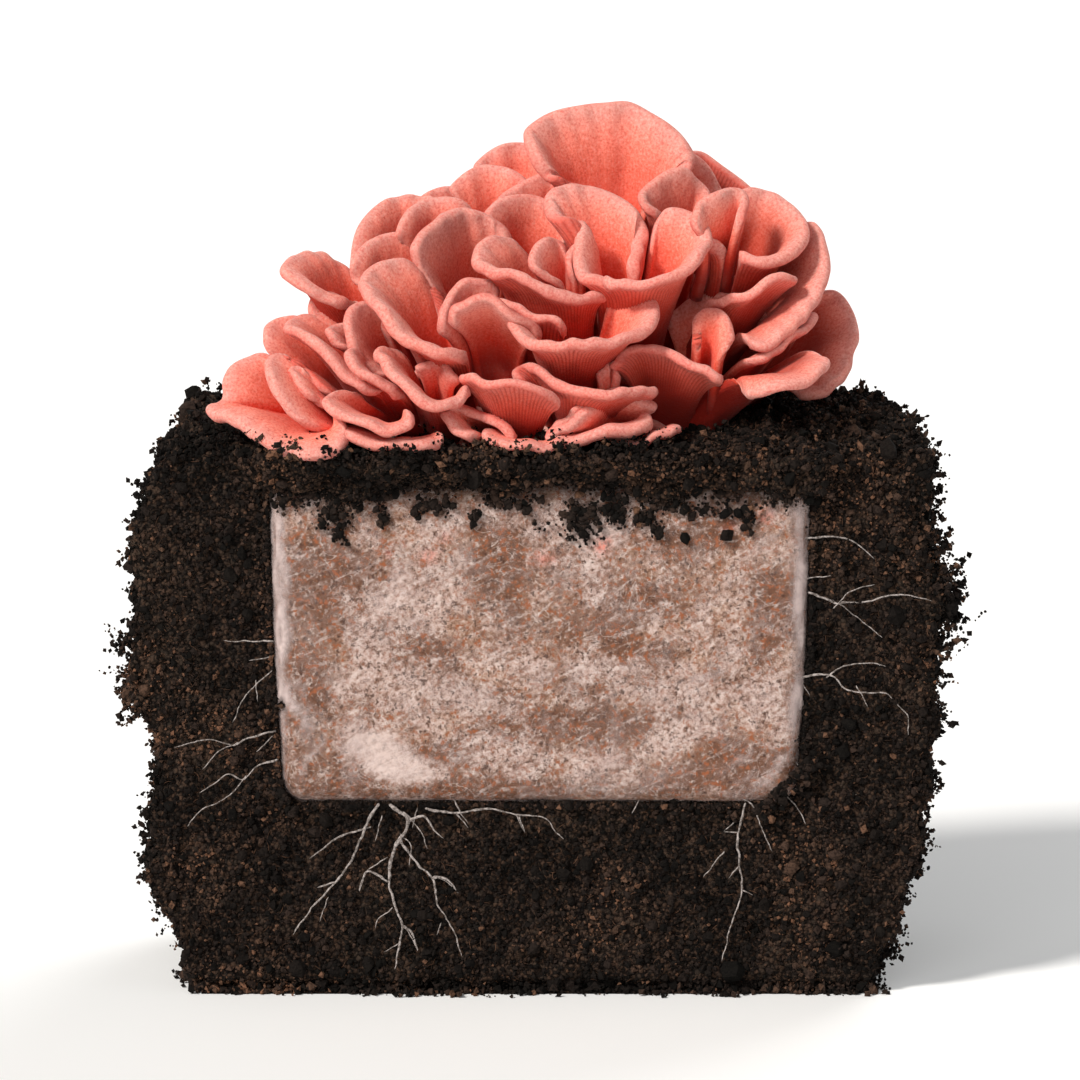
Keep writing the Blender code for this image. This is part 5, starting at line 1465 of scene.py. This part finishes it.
print("five radii:", sizes(np.random.default_rng(1), 5, 0.85, 0.35, 1.9).round(2))

# %% [markdown]
# Crumbs lie on the clod's skin, so its triangles are sorted into the cut face, the top and the sides, without
# the pocket, the spot under the mushrooms' foot and the underside. A random spot is a random triangle, chosen
# by its area, and a random place on it.

# %% Spots on the clod's skin
skin = [clod.reshape(-1, 3)[k] for k in grid_triangles(*clod.shape[:2], wrap_columns=True).T]
skin_middle = sum(skin) / 3
skin_normal = np.cross(skin[1] - skin[0], skin[2] - skin[0])
skin_area = np.linalg.norm(skin_normal, axis=1)
skin_normal = unit(skin_normal)
if (skin_normal * (skin_middle - (0, 0, 100))).sum() < 0:
    skin_normal = -skin_normal
x, y, z = skin_middle.T
POCKET_ROOM = 4
in_pocket = ((np.abs(x) < block_edge(z) + POCKET_ROOM) & (z > BLOCK_FLOOR - POCKET_ROOM)
             & (z < BLOCK_TOP + POCKET_ROOM) & (y > SOIL_FRONT + POCKET_ROOM)
             & (y < BLOCK_FRONT + BLOCK_SIZE[1] + 2 * POCKET_ROOM))
under_foot = (np.hypot((x - BASE_CENTRE[0]) / BASE_RADII[0], (y - BASE_CENTRE[1]) / BASE_RADII[1]) < 0.93) & (
    z > 190) & (skin_normal[:, 2] > 0.5)
bare = in_pocket | under_foot | (z < 0.6)
regions = {"face": ~bare & (y < SOIL_FRONT + 4) & (skin_normal[:, 1] < -0.25),
           "top": ~bare & (skin_normal[:, 2] > 0.55)}
regions["sides"] = ~bare & ~regions["face"] & ~regions["top"]


def scatter(rng, count, where):
    """Random spots on the clod's skin, as many per square centimetre everywhere in that region."""
    pool = np.flatnonzero(where)
    picked = rng.choice(pool, count, p=skin_area[pool] / skin_area[pool].sum())
    r = np.sqrt(rng.uniform(size=count))[:, None]
    s = rng.uniform(size=count)[:, None]
    spot = (1 - r) * skin[0][picked] + r * (1 - s) * skin[1][picked] + r * s * skin[2][picked]
    return spot, skin_normal[picked]


print({name: f"{skin_area[where].sum() / 200:.0f} square cm" for name, where in regions.items()})

# %% [markdown]
# Crumbs cover the clod densely, with small clods among them, coarsest on the sides and finest on the cut
# face, where grains that would lie on a strand are left out.

# %% Crumbs and small clods over the big one
def off_routes(spot, radius, margin):
    """True where a crumb of that radius leaves the strands free."""
    reach = margin + radius.max()
    gap = reach * (1 - near_route(spot[:, 0], spot[:, 2], reach))
    return gap > margin + 0.8 * radius


def over_skin(rng, region, count, middle, spread, most, margin):
    """Random spots of a region, the directions away from it and a radius each, clear of the strands."""
    spot, away = scatter(rng, count, regions[region])
    radius = sizes(rng, count, middle, spread, most)
    keep = off_routes(spot, radius, margin) if region == "face" else np.ones(count, bool)
    return spot[keep], away[keep], radius[keep]


SKIN = [("face", 23500, 0.68, 1.15), ("top", 14000, 0.86, 0.5), ("sides", 18000, 1.02, 1.0)]
for number, (region, count, middle, brown) in enumerate(SKIN):
    rng = np.random.default_rng(800 + number)
    spot, away, radius = over_skin(rng, region, count, middle, 0.38, 1.8, margin=0.5)
    lift = (radius * rng.uniform(0.0, 0.8, len(radius)))[:, None]
    grains("crumbs_" + region, spot + away * lift, radius, 810 + number, brown=brown)

LARGER = [("face", 700, 1.5), ("top", 800, 1.8), ("sides", 1500, 2.1)]
for number, (region, count, middle) in enumerate(LARGER):
    rng = np.random.default_rng(820 + number)
    spot, away, radius = over_skin(rng, region, count, middle, 0.36, 4.2, margin=0.8)
    lift = (0.25 * radius)[:, None]
    grains("clods_" + region, spot + away * lift, radius, 830 + number, fineness=1, brown=0.55)
print("triangles so far:", sum(made_triangles.values()))

# %% [markdown]
# Torn soil has a ragged edge: crumbs hang on each other in short crooked chains, held by fine roots. A chain
# is a random walk that starts in the skin and drifts outwards, or upwards at the lowest caps.

# %% Crumb chains on the torn edges
def chains(rng, spot, away, links, stride):
    """From every spot a walk of that many links, each a stride outwards plus a stride in a random way."""
    steps = 0.55 * away[:, None] + unit(rng.normal(size=(len(spot), links, 3)))
    return (spot[:, None] + np.cumsum(stride * steps, axis=1)).reshape(-1, 3)


torn = ~bare & (np.abs(skin_normal[:, 0]) > 0.5) & (z > 8)
torn_top = ~bare & (z > 185) & (skin_normal[:, 2] > 0.5) & (np.abs(x) > 84)
tufted = torn & (y < -30) & np.where(x > 0, (z > 125) & (z < 190), (z > 102) & (z < 132))
overhang = ~bare & (z > 199) & (y < -86) & (np.abs(x + 22) < 90)
CHAINS = [([(420, torn & (y < 10)), (300, torn & (y >= 10)), (200, torn_top)], 6, 1.25),
          ([(130, tufted)], 12, 1.5),
          ([(560, torn & (y < -45))], 7, 1.2),
          ([(420, overhang)], 5, 1.3)]  # (how many start where), links in a chain, stride in mm
rng = np.random.default_rng(836)
hooks = []
for starts, links, stride in CHAINS:
    spot, away = map(np.concatenate, zip(*(scatter(rng, count, where) for count, where in starts)))
    if starts[0][1] is overhang:
        away = unit(0.4 * away + (0, 0, 0.9))
    hooks.append(chains(rng, spot, away, links, stride))
hooks = np.concatenate(hooks)
grains("crumb_chains", hooks, sizes(rng, len(hooks), 0.85, 0.40, 2.4), 837)
print("crumbs in chains:", len(hooks))

# %% [markdown]
# Where the soil meets the block there is no gap: crumbs have trickled in between the soil and the film.

# %% Crumbs along the block's outline
UP_SHARE, SEAM_HEIGHT = 0.29, 118  # each upright side's share of the outline, and their height

rng = np.random.default_rng(838)
pace = rng.uniform(0, 1, 2600)  # 0 at the top of the left side, 1 at the top of the right one
half = 0.5 * BLOCK_SIZE[0] * (1 - BLOCK_TAPER)
from_top = np.minimum(pace, 1 - pace) / UP_SHARE
side = from_top < 1
rise = np.where(side, from_top, 0) * SEAM_HEIGHT
u = np.interp(pace, [UP_SHARE, 1 - UP_SHARE], [-1, 1]) * (half - 4)
u = np.where(side, np.sign(pace - 0.5) * block_edge(BLOCK_FLOOR + rise), u)
corner = np.clip(1 - rise / BLOCK_ROUND, 0, 1) ** 2 * step(half - 12, half - 2, np.abs(u))
radius = sizes(rng, len(pace), 0.75, 0.35, 1.6)
off = 0.3 + rng.exponential(0.9, len(pace))
seam = np.column_stack([np.where(side, u + np.sign(u) * (off - 4 * corner), u),
                        SOIL_FRONT - 0.2 - 0.4 * radius,
                        np.where(side, BLOCK_FLOOR + rise, BLOCK_FLOOR - off)])
keep = off_routes(seam, radius, 0.6)
grains("crumbs_round_block", seam[keep], radius[keep], 839)
print("crumbs round the block:", keep.sum())

# %% [markdown]
# Crumbs also cling to the film below the overhanging soil, in ragged patches and as single lumps, and fill
# the corners at the bag's foot.

# %% Crumbs on the film
FILM_PATCHES = [  # x, z, width, height and how many
    (-76, 182, 7.5, 8, 90), (-74, 174, 3.0, 3.5, 26), (-58, 184, 3.0, 4, 22), (-44, 183, 4, 3, 26),
    (-57, 178.5, 2.2, 2, 12), (-24, 180.5, 2.5, 2.5, 14), (-36, 184, 7, 2.5, 24), (-10, 185, 12, 2.5, 40),
    (16, 179, 8.5, 8.5, 150), (28, 182, 5, 5, 60), (39, 180, 5, 4, 46), (43, 174.5, 2.4, 2.2, 16),
    (60, 183, 12, 2.5, 36), (76, 180.5, 4, 2.2, 16), (76, 176.5, 1.8, 1.8, 8), (88, 186, 8, 3, 24),
    (-92, 186, 8, 3, 30), (0, 177, 3, 2, 6)]
LUMPS = np.array([(53, 172.2, 3.3), (68.7, 173.2, 3.2), (43.5, 174.4, 2.4), (55.7, 180.3, 2.6),
                  (68, 181, 2.2), (76, 182.5, 2.6), (76.4, 177, 1.9), (-24.5, 177.5, 1.9)])  # x, z, radius

rng = np.random.default_rng(840)
spot = np.concatenate([rng.normal((u, v), (0.5 * w, 0.5 * h), (int(1.5 * n), 2))
                       for u, v, w, h, n in FILM_PATCHES])
fringe = rng.uniform(-101, 103, 900)
fringe = np.column_stack([fringe, strip_low(fringe) + 1.5 - rng.exponential(1.6, 900)])
spot = np.concatenate([spot, fringe])
radius = sizes(rng, len(spot), 0.85, 0.35, 1.9)
places = np.column_stack([spot[:, 0], BLOCK_FRONT - 0.8 - 0.5 * radius, spot[:, 1]])
places = places[(places[:, 2] > 160) & (np.abs(places[:, 0]) < 99)]
lumps = np.column_stack([LUMPS[:, 0], BLOCK_FRONT - 0.5 - 0.25 * LUMPS[:, 2], LUMPS[:, 1]])
radius = np.concatenate([radius[:len(places)], LUMPS[:, 2]])
places = np.concatenate([places, lumps])

CORNERS = [(101, 92, 79, 70, 260), (-99, 82, -90, 70, 90)]  # two ends of a slanting line, and how many
for x0, z0, x1, z1, count in CORNERS:
    t, off = rng.uniform(0, 1, count), rng.exponential(2.2, count)
    slant = unit(np.array([np.sign(x0) * (z0 - z1), 0, -abs(x0 - x1)]))
    spot = np.column_stack([x0 + t * (x1 - x0), np.full(count, BLOCK_FRONT + 0.6), z0 + t * (z1 - z0)])
    places = np.concatenate([places, spot + off[:, None] * slant])
    radius = np.concatenate([radius, sizes(rng, count, 0.9, 0.35, 1.9)])
lump = radius > 1.15
grains("crumbs_on_film", places[~lump], radius[~lump], 841, brown=0.6)
grains("lumps_on_film", places[lump], radius[lump], 842, fineness=1, brown=0.6)
print("lumps on the film:", lump.sum())

# %% [markdown]
# Grains that came off the clod lie round its foot, heaped against it and thinner further out.

# %% Crumbs on the floor
rng = np.random.default_rng(850)
count = 4200
foot = clod[UNDER_RINGS + 2][rng.integers(0, COLUMNS, count)]
away = unit((foot - foot.mean(0)) * (1, 1, 0))
radius = sizes(rng, count, 0.9, 0.5, 3.0)
spill = 2.6 + 2.2 * noise(foot, 20, 852) + 1.2 * noise(foot, 7, 853)
out = np.minimum(rng.exponential(1.0, count) * np.maximum(spill, 0.5), 11)
places = foot + away * (out - 2.0)[:, None]
heaped = np.maximum(0, 5.0 - 1.1 * out) * rng.uniform(0, 1, count) * np.clip(0.5 * spill - 0.3, 0, 1.5)
places[:, 2] = 0.62 * radius + heaped
grains("crumbs_on_floor", places, radius, 851)
print("grains reach", out.max().round(1), "mm out")

# %% [markdown]
# Bits of soil cling to the mushrooms' foot where it comes out of the casing, and to the caps that touch it.

# %% Crumbs on the foot
rng = np.random.default_rng(860)
count = 1500
low = 0.30 + 0.22 * rng.uniform(0, 1, count) ** 0.35  # how far down the dome: most lie low
picked = dome[(low * len(dome)).astype(int), rng.integers(0, dome.shape[1], count)]
radius = sizes(rng, count, 0.75, 0.35, 1.8)
grains("crumbs_on_foot", picked + rng.normal(0, 0.5, (count, 3)), radius, 861)

flesh = np.concatenate(low_flesh)
in_front = flesh[:, 1] < -60
depth = np.where(in_front, (215 - flesh[:, 2]) / 8, 0.6 * (211 - flesh[:, 2]) / 8)
flesh = flesh[rng.uniform(0, 1, len(flesh)) < np.clip(depth, 0, 1) ** 2 * np.where(in_front, 1, 0.35)]
flesh = flesh[noise(flesh, 7, 862) > 0.05]
count = 2600
picked = flesh[rng.integers(0, len(flesh), count)]
radius = sizes(rng, count, 0.66, 0.42, 1.9)
grains("crumbs_on_caps", picked + rng.normal(0, 0.4, (count, 3)), radius, 863)
print("spots on low flesh:", len(flesh))

# %% [markdown]
# Peat is half-rotted moss and sedge, full of short root fibres, paler than the rest. A fibre is a thin
# three-sided tube on a bent path, with its two ends in the skin or sticking out a little.

# %% Root fibres
ALONG, ROUND = 5, 3  # points along a fibre, and round it


def fibres(name, spot, away, seed, longest=4.5):
    """Short tubes, straight along a random direction in the skin, bent sideways and lifted."""
    rng = np.random.default_rng(seed)
    count = len(spot)
    way = rng.normal(size=(count, 3))
    way = unit(way - 0.85 * away * (way * away).sum(1, keepdims=True))
    side = unit(np.cross(way, away))
    t = np.linspace(-1, 1, ALONG)[None, :, None]
    length = rng.uniform(1.5, longest, count)[:, None, None] / 2
    bend = rng.uniform(-0.35, 0.35, (2, count))[..., None, None]
    sideways, lifted = bend[0] * t * t, (0.25 + 0.5 * np.abs(bend[1])) * t * t
    path = (spot + 0.5 * away)[:, None] + length * (
        t * way[:, None] + sideways * side[:, None] + lifted * away[:, None])
    radius = rng.uniform(0.09, 0.17, count)[:, None] * np.array([0, 1, 1, 0.8, 0])
    turn = np.linspace(0, 2 * math.pi, ROUND, endpoint=False)[:, None]
    profile = np.cos(turn) * side[:, None, None] + np.sin(turn) * away[:, None, None]
    points = path[:, :, None] + radius[..., None, None] * profile
    one = grid_triangles(ALONG, ROUND, wrap_columns=True)
    triangles = (one + ALONG * ROUND * np.arange(count)[:, None, None]).reshape(-1, 3)
    tone = np.repeat(rng.uniform(0, 1, count) ** 2.0, ALONG * ROUND)
    points[..., 2] = np.maximum(points[..., 2], 0.05)
    return piece(name, points.reshape(-1, 3), triangles, root_fibre, "casing_soil", attributes={"tone": tone})


for number, (name, count) in enumerate((("face", 1300), ("top", 700), ("sides", 1300))):
    spot, away = scatter(np.random.default_rng(870 + number), count, regions[name])
    fibres("fibres_" + name, spot + 0.4 * away, away, 880 + number)
print("largest pieces:", sorted(made_triangles.values())[-3:])

# %% [markdown]
# ## Floor, light and camera
# The floor is plain and pale. The main light comes from high on the left in front, so the hollows fall into
# shade on the right. A weak one from the front opens those shadows, and a third lights the far side. Suns
# light a wide floor evenly; their angle makes shadows as soft as a soft box does.

# %% Floor and lights
bpy.ops.mesh.primitive_plane_add(size=40)
floor = bpy.context.object
floor.name = "floor"
floor_look, _, shader = finish("matt floor paint, off-white", Roughness=0.9)
shader.inputs["Base Color"].default_value = colour("#FAFAF9")
floor.data.materials.append(floor_look)


def sunlight(name, source, strength, angle, warmth):
    """A sun: parallel light from the direction of source, as wide as a soft box seen under that angle."""
    light = bpy.data.lights.new(name, "SUN")
    light.energy, light.angle, light.color = strength, math.radians(angle), colour(warmth)[:3]
    obj = bpy.data.objects.new(name, light)
    bpy.context.scene.collection.objects.link(obj)
    x, y, z = unit(np.array(source, float))
    obj.rotation_euler = (0, math.acos(z), math.atan2(y, x))


sunlight("key", (-1.0, -1.0, 1.1), 3.4, 12, "#FFFBF6")
sunlight("front", (-0.3, -1.6, 0.9), 0.5, 30, "#FFFFFF")
sunlight("back", (0.7, 1.3, 1.0), 1.3, 30, "#FFFFFF")
world = bpy.data.worlds.new("even studio light")
world.use_nodes = True
world.node_tree.nodes["Background"].inputs["Color"].default_value = colour("#FAFBFC")
world.node_tree.nodes["Background"].inputs["Strength"].default_value = 0.28
bpy.context.scene.world = world
bpy.context.scene.view_settings.view_transform = "Standard"
print("suns:", sum(light.type == "SUN" for light in bpy.data.lights))

# %% [markdown]
# The camera looks down by the observer's few degrees, from far off, so upright things stay upright.

# %% Camera
AIM = np.array([0.0, 0.0, 0.160])
DISTANCE, FRAME_HEIGHT = 2.6, 0.41
view = bpy.data.cameras.new("view")
view.sensor_width = 36
view.lens = 36 * DISTANCE / FRAME_HEIGHT
camera = bpy.data.objects.new("view", view)
bpy.context.scene.collection.objects.link(camera)
camera.location = AIM + DISTANCE * np.array([0, -math.cos(VIEW_TILT), math.sin(VIEW_TILT)])
camera.rotation_euler = (math.pi / 2 - VIEW_TILT, 0, 0)
bpy.context.scene.camera = camera
print("lens", round(view.lens), "mm")

# %% Triangles in all
print("triangles in all:", sum(made_triangles.values()))
